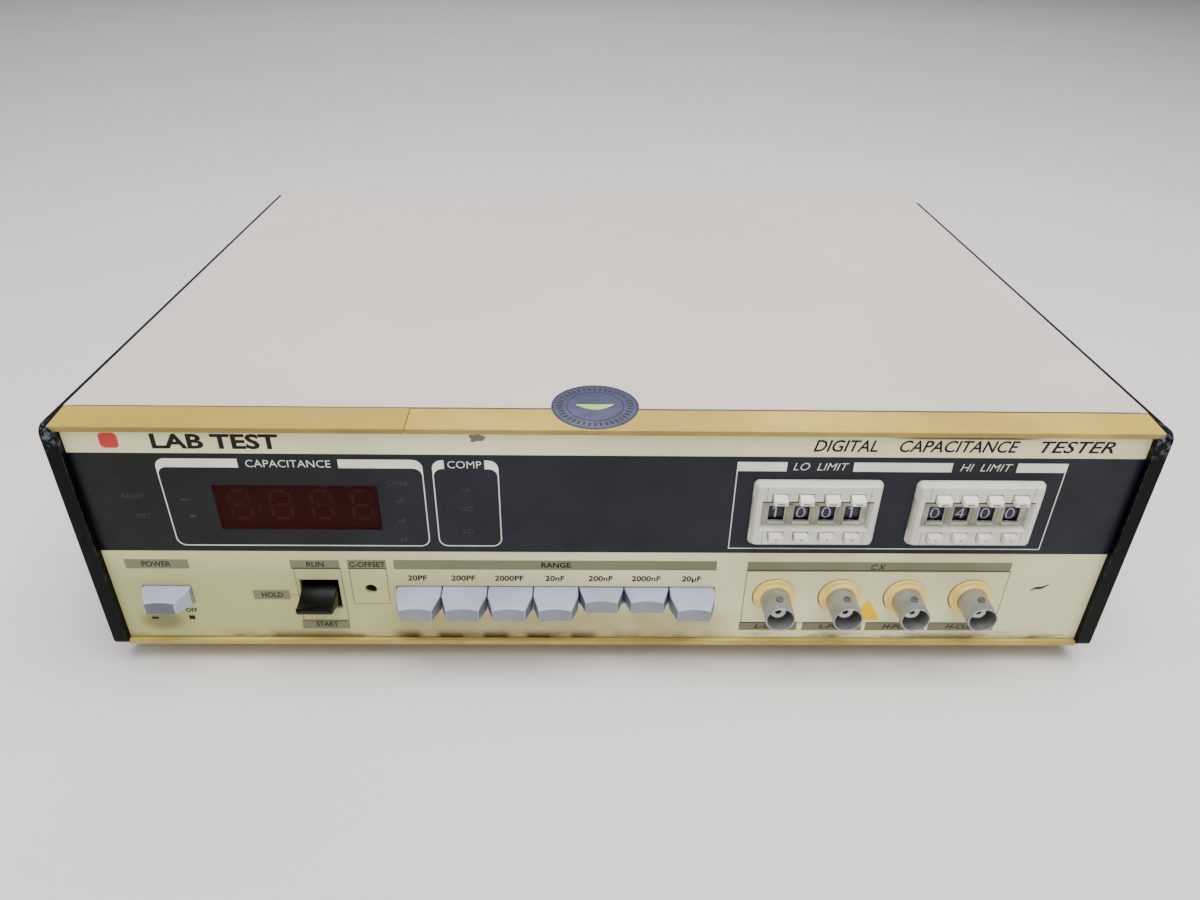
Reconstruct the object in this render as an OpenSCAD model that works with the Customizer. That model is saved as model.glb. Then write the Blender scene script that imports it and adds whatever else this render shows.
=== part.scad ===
// Bench capacitance tester: a flat desktop case with a printed facia, a four-digit display,
// seven range keys, a three-position lever, two push-wheel limit switches and four BNC sockets.
// Working frame of the modules: x = 0 on the centre line, y = 0 on the front of the facia,
// z = 0 on its lower edge. Millimetres.

/* [Case] */
// Overall width over the side frames
case_w = 334; // [334:1:410]
// Height of the case without its feet
case_h = 86; // [84:1:110]
// Depth from the front of the facia to the back of the side frames
case_d = 240; // [220:1:300]
// Thickness of a side frame
side_t = 4.5; // [3.5:0.1:6]
// How far the side frames stand in front of the facia
side_reach = 2.4; // [1.8:0.1:3]
// Thickness of the sheet metal of the covers
sheet_t = 1.2; // [0.8:0.1:1.4]
// Width of the side frame's lip beside a cover
side_lip = 1.5; // [1:0.1:2]
// Height of a rubber foot
foot_h = 8; // [5:0.5:16]
// Radius of a rubber foot
foot_r = 10; // [8:0.5:14]
// Distance of the feet from the sides of the case
foot_inset = 26; // [20:1:40]

/* [Trim] */
// Depth of the left length of top trim, front to back
trim_left_d = 10.5; // [9:0.1:12]
// Depth of the right length of top trim, front to back
trim_right_d = 10.1; // [9:0.1:12]
// How far the trims stand in front of the facia
trim_reach = 1.6; // [1.2:0.1:1.8]
// Height of the top trim's front lip
trim_lip = 2.3; // [2:0.1:3]
// How far the top trim falls from back to front
trim_fall = 0.5; // [0.2:0.1:0.8]
// Height of the bottom trim's front edge
rail_drop = 1.8; // [1.6:0.1:2.6]
// Place of the joint in the top trim, from the left end
trim_joint = 104; // [60:1:160]

/* [Facia] */
// Thickness of the printed facia
facia_t = 1.5; // [1:0.1:2]
// Thickness of the metal panel behind the facia
panel_t = 2; // [1.5:0.1:3]
// Thickness of the rear panel
rear_t = 2; // [1.5:0.1:3]
// Height of the row of keys and sockets
row_z = 19.2; // [18:0.1:22]
// Height of the middle of the display window
window_z = 54.2; // [52:0.1:58]
// Height of the middle of the limit switches
limit_z = 53.8; // [52:0.1:58]

/* [Display] */
// Width of one display digit
digit_w = 12.7; // [9:0.1:14]
// Height of one display digit's package
digit_h = 19; // [14:0.5:20]
// Height of the display window
window_h = 16.7; // [12:0.1:18]
// How far the digits sit below the middle of the window
digit_drop = 0.9; // [0:0.1:1.5]

/* [Keys] */
// Pitch of the range keys
key_pitch = 15; // [12.5:0.1:15.5]
// Height of a key at its root
key_h = 7.2; // [6:0.1:8]
// Height of a key's front face
key_tip_h = 4.7; // [3.5:0.1:6]
// How far a released range key stands out of the facia
key_reach = 10.5; // [9:0.1:12]
// Travel of a key
key_travel = 4; // [3:0.1:4.5]
// Width of the power key
power_w = 15.4; // [12:0.1:16]
// How far the released power key stands out of the facia
power_reach = 7.8; // [6:0.1:10]

/* [Lever] */
// Width of the lever
lever_w = 11.6; // [9:0.1:12.5]
// How far the lever stands out of the facia
lever_reach = 9.2; // [7:0.1:11]
// Height of the opening that the lever moves in
lever_slot_h = 12.6; // [12:0.1:15]

/* [Limit switches] */
// Width of one digit unit
unit_w = 8; // [7.5:0.1:9.6]
// Width of an end cheek
cheek_w = 4; // [3:0.1:5]
// Height of a switch bezel
bezel_h = 24; // [23.5:0.1:26]
// How far a bezel stands out of the facia
bezel_t = 2.8; // [2.4:0.1:3.4]
// Radius of a digit wheel
wheel_r = 8.2; // [7.4:0.1:8.4]
// Radius of the wheels' axle
axle_r = 1.2; // [1:0.05:2]
// Travel of a push button
button_travel = 2; // [1.4:0.1:2.1]

/* [Sockets] */
// Pitch of the BNC sockets
bnc_pitch = 22; // [18:0.5:26.5]
// Outer radius of a BNC barrel
bnc_r = 4.8; // [4.4:0.05:5.2]
// Inner radius of a BNC barrel
bnc_bore_r = 4.1; // [3.6:0.05:4.2]
// How far a BNC barrel stands out of the facia
bnc_reach = 12; // [11:0.1:14]
// How deep the insulator sits behind the mouth of its barrel
insert_depth = 4; // [3:0.1:5]
// Radius of the insulating bushing
bushing_r = 7; // [6.4:0.1:7.4]

/* [Rear] */
// How far the interface socket stands out of the rear panel
socket_reach = 6.2; // [5:0.1:8]
// Width of the mains inlet's flange
inlet_w = 50; // [50:1:56]
// Height of the mains inlet's flange
inlet_h = 34; // [34:1:40]

/* [Hidden] */
$fn = 48;

// Clearances: between fixed pieces, round sliding pieces, and between running shaft and bore.
fit = 0.1;
slide_fit = 0.2;
run_fit = 0.05;
eps = 0.01;

top_z = case_h - rail_drop;
inner_w = case_w - 2 * side_t;
cover_w = case_w - 2 * side_lip;
face_top = top_z - trim_lip - fit;
back_y = facia_t + panel_t;
rib_t = 2.5;
trim_seam = 0.15;
cover_y = max(trim_left_d, trim_right_d) + fit;
rear_y = case_d - 2;
depth = bnc_reach + rear_y + socket_reach;
face_y = bnc_reach - depth / 2;
face_z = foot_h + rail_drop;

// Places across the facia, from the inner faces of the side frames.
power_x = 17.4 - inner_w / 2;
window_x = 65.4 - inner_w / 2;
lever_x = 67.3 - inner_w / 2;
offset_x = 84 - inner_w / 2;
offset_z = row_z + 2.2;
keys_x = 92.5 - inner_w / 2;
low_x = inner_w / 2 - 98.7;
high_x = inner_w / 2 - 48.2;
bnc_x = inner_w / 2 - 74.2;

keys = 7;
pressed_keys = [5, 6];
key_gap = 0.3;
key_w = key_pitch - key_gap;
key_root_y = back_y + 3.5;
key_shoulder = 4;
key_inset = 2.1;
power_shoulder = 2;
power_inset = 2.9;
bank_y = key_root_y + key_travel + 1.5;
plunger_w = 5;
plunger_h = 4;
switch_d = 26;
plunger_end = bank_y + switch_d - 6;

bore_end = -3;
sleeve_r = bushing_r - 1.3;
offset_hole_r = 2;

digits = 4;
window_w = digits * digit_w - 0.6;
flange = 1.7;
filter_t = 1;
digit_y = facia_t + filter_t + 0.4;
digit_t = 6.2;
board_t = 1.6;
carrier_y = digit_y + digit_t;
lamp_w = 5;
lamp_h = 3;
lamps = [for (z = [9.4, 2.9, -4.7, -12]) [31.6, z],
         for (z = [3, -3.3]) [-33.7, z],
         for (z = [7, -0.1, -8.8]) [52.2, z],
         for (z = [4.2, -3.3]) [-49.2, z]];

lever_y = 8;
lever_hub_r = 4.2;
lever_pin_r = 1.25;
lever_body_t = 1.8;

units = 4;
bezel_w = units * unit_w + 2 * cheek_w;
box_w = units * unit_w + 2.4;
box_h = bezel_h - 1.6;
box_wall = 1.2;
part_t = 1;
cell_w = unit_w - part_t;
floor_y = -0.6;
floor_t = 0.6;
wheel_w = 4.6;
pane_w = 5;
pane_h = 5.65;
wheel_y = wheel_r + 0.3;
wheel_z = limit_z - 0.5;
box_d = wheel_y + wheel_r + 8;
button_w = 4.2;
button_gap = 0.35;
button_h = 2.5;
up_z = limit_z + 5.7;
down_z = limit_z - 8.8;
arm_t = 0.8;
arm_x = wheel_w / 2 + 0.2;
bar_y = floor_y + floor_t + fit;
cap_back = bar_y + 0.3;

board_z = row_z - 7.2;
board_top = board_z + board_t;
board_x0 = offset_x - 6;
board_x1 = inner_w / 2 - 12;
board_y0 = 10;
board_y1 = rear_y - 32;
post_x = [board_x0 + 8, board_x1 - 8];
post_y = [board_y0 + 44, board_y1 - 8];

foot_x = case_w / 2 - foot_inset;
foot_y = [cover_y + 18, rear_y - 26];
foot_screw_r = 2;
cover_screw_r = 1.7;
cover_screws = [-0.36, 0, 0.36];
flange_h = 9;
fold_x = inner_w / 2 - sheet_t / 2 - fit;
back_fold_t = 1.4;
back_fold_w = inner_w - 12;
tap_r = 1.3;
side_screw_y = [cover_y + 30, rear_y - 38];
side_screw_z = [sheet_t - rail_drop + flange_h / 2, top_z - sheet_t - flange_h / 2];
screw_head_r = 3.4;
groove_d = 1.2;

transformer = [56, 46, 44];
transformer_x = 44 - inner_w / 2;
transformer_y = rear_y - 52;
inlet_x = 38 - inner_w / 2;
inlet_z = 33;
inlet_box_w = 27.8;
inlet_box_h = 26.8;
recess_w = 24.6;
recess_h = 16.6;
recess_d = 17;
drawer_h = 7;
socket_x = 46;
socket_z = 33;
socket_w = 38.4;
socket_h = 8;
shell_slope = 1.1;

module at_front() {
    translate([0, face_y, face_z]) children();
}

module block(lo, hi) {
    translate(lo) cube(hi - lo);
}

// Carries a (y, z) outline along x.
module along_x(x0, x1) {
    translate([x0, 0, 0]) rotate([90, 0, 90]) linear_extrude(x1 - x0) children();
}

// Carries an (x, z) outline along y.
module along_y(y0, y1) {
    translate([0, y1, 0]) rotate([90, 0, 0]) linear_extrude(y1 - y0) children();
}

module rod_x(x0, x1, y, z, r) {
    translate([x0, y, z]) rotate([0, 90, 0]) cylinder(h = x1 - x0, r = r);
}

module rod_y(y0, y1, x, z, r) {
    translate([x, y1, z]) rotate([90, 0, 0]) cylinder(h = y1 - y0, r = r);
}

module rod_z(z0, z1, x, y, r) {
    translate([x, y, z0]) cylinder(h = z1 - z0, r = r);
}

module tube_y(y0, y1, x, z, r, bore) {
    difference() {
        rod_y(y0, y1, x, z, r);
        rod_y(y0 - 1, y1 + 1, x, z, bore);
    }
}

// A rectangle centred on the origin with round corners.
module rounded(w, h, r) {
    square([w - 2 * r, h], center = true);
    square([w, h - 2 * r], center = true);
    for (sx = [-1, 1], sy = [-1, 1])
        translate([sx * (w / 2 - r), sy * (h / 2 - r)]) circle(r);
}

// A block from y0 to y1, centred on (x, z).
module slab_y(y0, y1, x, z, w, h) {
    block([x - w / 2, y0, z - h / 2], [x + w / 2, y1, z + h / 2]);
}

// A plate with round corners, standing across y.
module rounded_y(y0, y1, x, z, w, h, r) {
    translate([x, 0, z]) along_y(y0, y1) rounded(w, h, r);
}

// A sheet-metal cover lying in z0 to z0 + sheet_t with a folded edge at the back and two at the sides.
// up is 1 where the folds rise and -1 where they hang.
module cover_sheet(z0, up) {
    fold_z0 = up > 0 ? z0 + sheet_t : z0 - flange_h;
    fold_z = fold_z0 + flange_h / 2;
    difference() {
        union() {
            block([-cover_w / 2, cover_y, z0], [cover_w / 2, rear_y + back_fold_t, z0 + sheet_t]);
            slab_y(rear_y, rear_y + back_fold_t, 0, fold_z, back_fold_w, flange_h);
            for (s = [-1, 1])
                block([s * fold_x - sheet_t / 2, cover_y + 14, fold_z0],
                      [s * fold_x + sheet_t / 2, rear_y - rear_t - 4, fold_z0 + flange_h]);
        }
        for (y = side_screw_y)
            rod_x(-inner_w, inner_w, y, fold_z, tap_r);
        for (k = cover_screws)
            rod_y(rear_y - 1, rear_y + 3, k * inner_w, fold_z, cover_screw_r);
    }
}

module top_cover() {
    color("gainsboro") at_front() cover_sheet(top_z - sheet_t, -1);
}

module bottom_cover() {
    slots = 12;
    slot_pitch = 7;
    slot_w = 3;
    slot_l = 40;
    bank_x = 62;
    post_r = 3.2;
    color("gainsboro") at_front() difference() {
        union() {
            cover_sheet(-rail_drop, 1);
            for (x = post_x, y = post_y) rod_z(-rail_drop, board_z, x, y, post_r);
        }
        for (x = post_x, y = post_y) rod_z(-rail_drop - 1, board_z + 1, x, y, 1.5);
        for (x = [-foot_x, foot_x], y = foot_y)
            rod_z(-rail_drop - 1, sheet_t + 1, x, y, foot_screw_r);
        for (side = [-1, 1], i = [0:slots - 1])
            translate([side * bank_x + (i - slots / 2) * slot_pitch, case_d / 2 - 30, 0])
                block([0, 0, -rail_drop - 1], [slot_w, slot_l, 1]);
    }
}

// Outline, in (y, z), of a top trim: front lip, top face, and the tongue that carries the cover.
module top_trim_outline(trim_d) {
    polygon([[-trim_reach, top_z - trim_lip], [-trim_reach, top_z - trim_fall], [trim_d, top_z],
             [trim_d, top_z - trim_lip]]);
}

module top_trim_rib(x0, x1, trim_d) {
    tongue_t = 1.4;
    tongue_d = 4.5;
    block([x0, back_y, top_z - 9], [x1, back_y + rib_t, top_z - trim_lip + eps]);
    block([x0, back_y, top_z - sheet_t - tongue_t], [x1, trim_d + tongue_d, top_z - sheet_t]);
}

// The wedge of space at the right-hand end of the trim, which the side frame's corner fills.
module trim_end(gap) {
    along_y(-trim_reach - 2, cover_y + gap) polygon([
        [cover_w / 2 - 2.4 + gap, top_z - trim_lip - eps], [cover_w / 2 + gap, top_z + eps],
        [cover_w / 2 + 9, top_z + eps], [cover_w / 2 + 9, top_z - trim_lip - eps]]);
}

module top_trim_left() {
    x1 = trim_joint - cover_w / 2;
    color("burlywood") at_front() difference() {
        union() {
            along_x(-cover_w / 2, x1) top_trim_outline(trim_left_d);
            top_trim_rib(-inner_w / 2 + fit, x1, trim_left_d);
        }
        mirror([1, 0, 0]) trim_end(0);
    }
}

module top_trim_right() {
    x0 = trim_joint - cover_w / 2 + trim_seam;
    color("tan") at_front() difference() {
        union() {
            along_x(x0, cover_w / 2) top_trim_outline(trim_right_d);
            top_trim_rib(x0, inner_w / 2 - fit, trim_right_d);
        }
        trim_end(0);
    }
}

module bottom_trim() {
    color("tan") at_front() {
        block([-inner_w / 2, -trim_reach + 0.2, -rail_drop], [inner_w / 2, cover_y - fit, 0]);
        block([-inner_w / 2, back_y, -eps], [inner_w / 2, back_y + rib_t, 7]);
        block([-inner_w / 2, back_y, -rail_drop + sheet_t], [inner_w / 2, cover_y + 4, -eps]);
    }
}

module side_frame() {
    lip_z = top_z - 0.2;
    corner = 3;
    difference() {
        translate([0, (case_d - side_reach) / 2, (lip_z - rail_drop) / 2])
            along_x(inner_w / 2, case_w / 2)
                rounded(case_d + side_reach, lip_z + rail_drop, corner);
        block([inner_w / 2 - 1, cover_y - fit, top_z - sheet_t],
              [cover_w / 2 + fit, case_d + 1, top_z + 1]);
        block([inner_w / 2 - 1, cover_y - fit, -rail_drop - 1],
              [cover_w / 2 + fit, case_d + 1, -rail_drop + sheet_t]);
        difference() {
            block([inner_w / 2 - 1, -side_reach - 1, top_z - trim_lip],
                  [case_w / 2 + 1, cover_y, top_z + 1]);
            trim_end(fit);
        }
        block([inner_w / 2 - 1, rear_y - rear_t, -rail_drop], [inner_w / 2 + groove_d, rear_y, top_z]);
        for (y = side_screw_y, z = side_screw_z) {
            rod_x(inner_w / 2 - 1, case_w / 2 + 1, y, z, cover_screw_r);
            rod_x(case_w / 2 - side_t / 2, case_w / 2 + 1, y, z, screw_head_r);
        }
    }
}

module right_side_frame() {
    color("dimgray") at_front() side_frame();
}

module left_side_frame() {
    color("dimgray") at_front() mirror([1, 0, 0]) side_frame();
}

// Openings that the facia and the metal panel share.
module control_openings() {
    y0 = -1;
    y1 = back_y + 1;
    slot_h = key_h + 2 * slide_fit;
    keys_w = keys * key_pitch;
    lever_gap = 0.6;
    slab_y(y0, y1, power_x, row_z, power_w + 2 * slide_fit, slot_h);
    slab_y(y0, y1, keys_x + keys_w / 2, row_z, keys_w + 2 * slide_fit, slot_h);
    slab_y(y0, y1, lever_x, row_z, lever_w + 2 * lever_gap, lever_slot_h);
    rod_y(y0, y1, offset_x, offset_z, offset_hole_r);
    for (i = [0:3]) rod_y(y0, y1, bnc_at(i), row_z, sleeve_r + fit);
    for (x = [low_x, high_x]) slab_y(y0, y1, x, limit_z, box_w + 2 * fit, box_h + 2 * fit);
}

function bnc_at(i) = bnc_x + (i - 1.5) * bnc_pitch;

module front_facia() {
    color("beige") at_front() difference() {
        block([-inner_w / 2 + fit, 0, 0], [inner_w / 2 - fit, facia_t, face_top]);
        slab_y(-1, facia_t + 1, window_x, window_z, window_w, window_h);
        control_openings();
    }
}

module front_panel() {
    digit_z = window_z - digit_drop;
    pocket_x = window_w / 2 + flange + fit;
    pocket_z0 = min(window_z - window_h / 2 - flange, digit_z - digit_h / 2) - fit;
    pocket_z1 = max(window_z + window_h / 2 + flange, digit_z + digit_h / 2) + fit;
    color("silver") at_front() difference() {
        block([-inner_w / 2 + fit, facia_t, 0], [inner_w / 2 - fit, back_y, face_top]);
        block([window_x - pocket_x, facia_t - 1, pocket_z0],
              [window_x + pocket_x, back_y + 1, pocket_z1]);
        for (p = lamps)
            slab_y(facia_t - 1, back_y + 1, window_x + p[0], window_z + p[1],
                   lamp_w + 2 * fit, lamp_h + 2 * fit);
        control_openings();
    }
}

module display_filter() {
    w = window_w - 2 * fit;
    h = window_h - 2 * fit;
    color("darkred") at_front() {
        slab_y(0, facia_t + eps, window_x, window_z, w, h);
        slab_y(facia_t, facia_t + filter_t, window_x, window_z, w + 2 * flange, h + 2 * flange);
    }
}

// One seven-segment package: a dark body with the bars of the digit standing just proud of it.
module display_digit(x, z) {
    bar = 1.1;
    bar_gap = 1.4;
    tall = 5.2;
    wide = 6;
    proud = 0.1;
    bar_back = digit_y + 2 * proud;
    slab_y(digit_y + proud, carrier_y, x, z, digit_w - fit, digit_h);
    for (k = [-1, 0, 1]) slab_y(digit_y, bar_back, x, z + k * tall, wide - 2 * bar, bar);
    for (sx = [-1, 1], sz = [-1, 1])
        slab_y(digit_y, bar_back, x + sx * wide / 2, z + sz * tall / 2, bar, tall - bar_gap);
}

module display_module() {
    z = window_z - digit_drop;
    x0 = window_x - 54;
    x1 = window_x + 57;
    half_h = digit_h / 2 + 4.5;
    post_z = half_h - 2.8;
    post_x = [x0 + 2.6, x1 - 2.6];
    color("darkslategray") at_front() {
        for (i = [0:digits - 1]) display_digit(window_x + (i - 1.5) * digit_w, z);
        for (p = lamps)
            slab_y(facia_t + 0.6, carrier_y, window_x + p[0], window_z + p[1], lamp_w, lamp_h);
        for (x = post_x, s = [-1, 1]) rod_y(back_y, carrier_y, x, z + s * post_z, 2.4);
        difference() {
            block([x0, carrier_y, z - half_h], [x1, carrier_y + board_t, z + half_h]);
            for (x = post_x, s = [-1, 1])
                rod_y(carrier_y - 1, carrier_y + board_t + 1, x, z + s * post_z, 1.1);
        }
    }
}

module rear_panel() {
    slots = 10;
    slot_pitch = 6;
    slot_w = 2.8;
    slot_h = 32;
    slot_x = -62;
    slot_z = 44;
    socket_gap = 0.8;
    y0 = rear_y - rear_t - 1;
    y1 = rear_y + 1;
    color("silver") at_front() difference() {
        block([-inner_w / 2 - groove_d, rear_y - rear_t, -rail_drop + sheet_t],
              [inner_w / 2 + groove_d, rear_y, top_z - sheet_t]);
        slab_y(y0, y1, inlet_x, inlet_z, inlet_box_w + 2 * fit, inlet_box_h + 2 * fit);
        slab_y(y0, y1, socket_x, socket_z, socket_w + 2.8, socket_h + 2 * socket_gap);
        for (i = [0:slots - 1])
            rounded_y(y0, y1, slot_x + i * slot_pitch, slot_z, slot_w, slot_h, tap_r);
        for (k = cover_screws, z = side_screw_z) rod_y(y0, y1, k * inner_w, z, tap_r);
    }
}

module main_board() {
    color("seagreen") at_front() difference() {
        block([board_x0, board_y0, board_z], [board_x1, board_y1, board_top]);
        for (x = post_x, y = post_y) rod_z(board_z - 1, board_top + 1, x, y, 1.6);
    }
}

// A flat package lying on the main board.
module chip(x, y, w, d, h) {
    block([x, y, board_top], [x + w, y + d, board_top + h]);
}

module offset_trimmer() {
    difference() {
        block([offset_x - 5, board_y0 + 0.5, board_top], [offset_x + 5, board_y0 + 9, offset_z + 5]);
        rod_y(board_y0 - 1, board_y0 + 7, offset_x, offset_z, 1.7 + run_fit);
    }
}

module heat_sink(x, y) {
    chip(x, y, 4, 50, 30);
    for (k = [0:6]) chip(x + 4 - eps, y + k * 8, 14, 2, 30);
}

module board_components() {
    y_logic = board_y0 + 52;
    color("slategray") at_front() {
        offset_trimmer();
        for (i = [0:3], j = [0:3]) chip(board_x0 + 28 + i * 26, y_logic + j * 24, 19.5, 7, 3.6);
        for (i = [0:3]) chip(bnc_at(i) - 5, board_y0 + 10, 10, 20, 11);
        for (i = [0:2]) rod_z(board_top, board_top + 28, board_x0 + 26 + i * 24, board_y1 - 20, 8);
        chip(board_x1 - 74, y_logic, 60, 46, 22);
        chip(board_x1 - 74, y_logic + 58, 12, 12, 4);
        heat_sink(board_x1 - 30, y_logic + 54);
    }
}

module power_transformer() {
    w = transformer[0];
    d = transformer[1];
    h = transformer[2];
    base_t = 2;
    ear_w = 9;
    coil_w = w * 2 / 3;
    coil_z0 = h / 5;
    coil_z1 = h * 0.84;
    color("darkgray") at_front() translate([transformer_x, transformer_y, -rail_drop + sheet_t]) {
        difference() {
            block([-w / 2, -d / 4, base_t], [w / 2, d / 4, h]);
            block([-coil_w / 2, -d / 4 - 1, coil_z0], [coil_w / 2, d / 4 + 1, coil_z1]);
        }
        difference() {
            block([-w / 2 - ear_w, -d / 4, 0], [w / 2 + ear_w, d / 4, base_t]);
            for (s = [-1, 1]) rod_z(-1, base_t + 1, s * (w + ear_w) / 2, 0, 2);
        }
        block([-coil_w / 2, -d / 2, coil_z0], [coil_w / 2, d / 2, coil_z1]);
    }
}

// A BNC barrel on the y axis, mouth towards -y, with its bayonet lugs and the nut behind the panel.
module bnc_body(x) {
    lug_y = -bnc_reach + 4.5;
    lug_rise = 0.7;
    lug_r = 1.2;
    nut_t = 2.6;
    nut_r = bushing_r + 0.6;
    y1 = back_y + 8;
    difference() {
        union() {
            rod_y(-bnc_reach, y1, x, row_z, bnc_r);
            rod_z(row_z - bnc_r - lug_rise, row_z + bnc_r + lug_rise, x, lug_y, lug_r);
        }
        rod_y(-bnc_reach - 1, bore_end, x, row_z, bnc_bore_r);
    }
    difference() {
        translate([x, back_y + 1 + nut_t, row_z]) rotate([90, 0, 0])
            cylinder(h = nut_t, r = nut_r, $fn = 6);
        rod_y(0, y1, x, row_z, bnc_r);
    }
}

module bnc_bodies() {
    color("lightgray") at_front() for (i = [0:3]) bnc_body(bnc_at(i));
}

// Insulating bushing: a stepped flange in front of the facia and a sleeve through it.
module bnc_bushings() {
    color("wheat") at_front() for (i = [0:3]) difference() {
        union() {
            rod_y(-1.2, 0, bnc_at(i), row_z, bushing_r);
            rod_y(-2.2, -1, bnc_at(i), row_z, bushing_r - 1.1);
            rod_y(-0.5, back_y, bnc_at(i), row_z, sleeve_r);
            rod_y(back_y, back_y + 1, bnc_at(i), row_z, bushing_r);
        }
        rod_y(-4, back_y + 2, bnc_at(i), row_z, bnc_r);
    }
}

// Dielectric with the socket contact in it.
module bnc_inserts() {
    stem_r = 2.6;
    pin_r = 1.05;
    pin_bore_r = 0.6;
    color("white") at_front() for (i = [0:3]) {
        tube_y(-bnc_reach + insert_depth, bore_end, bnc_at(i), row_z, stem_r, pin_r);
        tube_y(-bnc_reach + insert_depth + 0.4, bore_end, bnc_at(i), row_z, pin_r, pin_bore_r);
    }
}

module rubber_feet() {
    color("dimgray") at_front() for (x = [-foot_x, foot_x], y = foot_y) difference() {
        translate([x, y, -rail_drop - foot_h]) cylinder(h = foot_h, r1 = foot_r - 1.2, r2 = foot_r);
        rod_z(-rail_drop - foot_h - 1, -rail_drop + 1, x, y, foot_screw_r);
        rod_z(-rail_drop - foot_h - 1, -rail_drop - foot_h + 4, x, y, 4.5);
    }
}

// The bezel's block, sloping in to its front face.
module bezel_block() {
    r = 1.8;
    draft = 1.1;
    hull() {
        rounded_y(-0.8, 0, 0, limit_z, bezel_w, bezel_h, r);
        rounded_y(-bezel_t, -bezel_t + 0.1, 0, limit_z, bezel_w - 2 * draft, bezel_h - 2 * draft, r - 0.6);
    }
}

// The sunk window field of a bezel.
module bezel_recess() {
    half_w = units * unit_w / 2 + 1.4;
    intersection() {
        along_x(-half_w, half_w) polygon([
            [-bezel_t - 1, limit_z + 5.7], [-bezel_t, limit_z + 5.3], [floor_y, limit_z + 4.7],
            [floor_y, limit_z - 4.3], [-bezel_t, limit_z - 5.6], [-bezel_t - 1, limit_z - 6.2]]);
        translate([0, 0, limit_z - 12]) linear_extrude(24) polygon([
            [-half_w, -bezel_t - 1], [-half_w, -bezel_t], [-half_w + 1.2, floor_y],
            [half_w - 1.2, floor_y], [half_w, -bezel_t], [half_w, -bezel_t - 1]]);
    }
}

function unit_at(i) = (i - 2.5) * unit_w;

// A bank of push-wheel units about x = 0: bezel, box with one cell for each unit, and the axle.
module limit_housing() {
    slot_w = button_w + 2 * button_gap;
    slot_h = button_h + 2 * button_gap;
    difference() {
        union() {
            bezel_block();
            block([-box_w / 2, -eps, limit_z - box_h / 2], [box_w / 2, box_d, limit_z + box_h / 2]);
        }
        bezel_recess();
        for (i = [1:units]) translate([unit_at(i), 0, 0]) {
            block([-cell_w / 2, floor_y + floor_t, limit_z - box_h / 2 + box_wall],
                  [cell_w / 2, box_d - box_wall, limit_z + box_h / 2 - box_wall]);
            slab_y(floor_y - 1, floor_y + floor_t + 1, 0, wheel_z + 0.175, pane_w, pane_h);
            for (z = [up_z, down_z]) slab_y(-bezel_t - 1, 0.5, 0, z + button_h / 2, slot_w, slot_h);
        }
        rod_x(-box_w / 2 + box_wall / 2, box_w / 2 - box_wall / 2, wheel_y, wheel_z, axle_r + 0.02);
    }
    rod_x(-box_w / 2 + box_wall / 2 + fit, box_w / 2 - box_wall / 2 - fit, wheel_y, wheel_z, axle_r);
}

module low_limit_housing() {
    color("whitesmoke") at_front() translate([low_x, 0, 0]) limit_housing();
}

module high_limit_housing() {
    color("whitesmoke") at_front() translate([high_x, 0, 0]) limit_housing();
}

// A digit wheel about x = 0, with a web between its rim and its hub.
module digit_wheel() {
    web = 1.2;
    rim = 1.4;
    hub_r = axle_r + 1.3;
    color("black") difference() {
        rod_x(-wheel_w / 2, wheel_w / 2, wheel_y, wheel_z, wheel_r);
        for (s = [-1, 1]) difference() {
            rod_x(s * wheel_w / 2 - (wheel_w - web) / 2, s * wheel_w / 2 + (wheel_w - web) / 2,
                  wheel_y, wheel_z, wheel_r - rim);
            rod_x(-wheel_w, wheel_w, wheel_y, wheel_z, hub_r);
        }
        rod_x(-wheel_w, wheel_w, wheel_y, wheel_z, axle_r + run_fit);
    }
}

// The cross bar that keeps a button in its slot, and the arm beside the wheel.
module button_arm(z) {
    block([-button_w / 2, bar_y, z], [arm_x + arm_t, bar_y + 0.6, z + 1.5]);
    block([arm_x, bar_y, z], [arm_x + arm_t, wheel_y + 2, z + 1.5]);
}

module up_button() {
    reach = bezel_t + 2.5;
    color("ivory") {
        along_x(-button_w / 2, button_w / 2) polygon([
            [cap_back, up_z], [-reach, up_z], [-reach, up_z + 1.4], [-bezel_t, up_z + button_h],
            [cap_back, up_z + button_h]]);
        button_arm(up_z);
    }
}

module down_button() {
    reach = bezel_t + 2.2;
    color("ivory") {
        along_x(-button_w / 2, button_w / 2) polygon([
            [cap_back, down_z], [-bezel_t, down_z], [-reach, down_z + 0.2], [-reach, down_z + 2.1],
            [-bezel_t, down_z + button_h], [cap_back, down_z + button_h]]);
        button_arm(down_z + 0.5);
    }
}

// A key cap about x = 0 and its plunger. The cap narrows in plan and in height to a dished front face.
module key_cap(w, reach, shoulder, inset, plunger_end) {
    dish_r = 13;
    dish_depth = 1.1;
    tip_w = w - 2 * inset;
    difference() {
        intersection() {
            translate([0, 0, row_z - key_h]) linear_extrude(2 * key_h) polygon([
                [-w / 2, key_root_y], [-w / 2, -shoulder], [-tip_w / 2, -reach],
                [tip_w / 2, -reach], [w / 2, -shoulder], [w / 2, key_root_y]]);
            along_x(-w, w) polygon([
                [key_root_y, row_z - key_h / 2], [0, row_z - key_h / 2], [-reach, row_z - key_tip_h / 2],
                [-reach, row_z + key_tip_h / 2], [0, row_z + key_h / 2], [key_root_y, row_z + key_h / 2]]);
        }
        rod_z(row_z - key_h, row_z + key_h, 0, -reach + dish_depth - dish_r, dish_r);
    }
    slab_y(key_root_y - eps, plunger_end, 0, row_z, plunger_w, plunger_h);
}

function key_at(i) = keys_x + (i - 0.5) * key_pitch;

module power_key() {
    color("lightsteelblue") at_front() translate([power_x, 0, 0])
        key_cap(power_w, power_reach, power_shoulder, power_inset, plunger_end);
}

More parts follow.
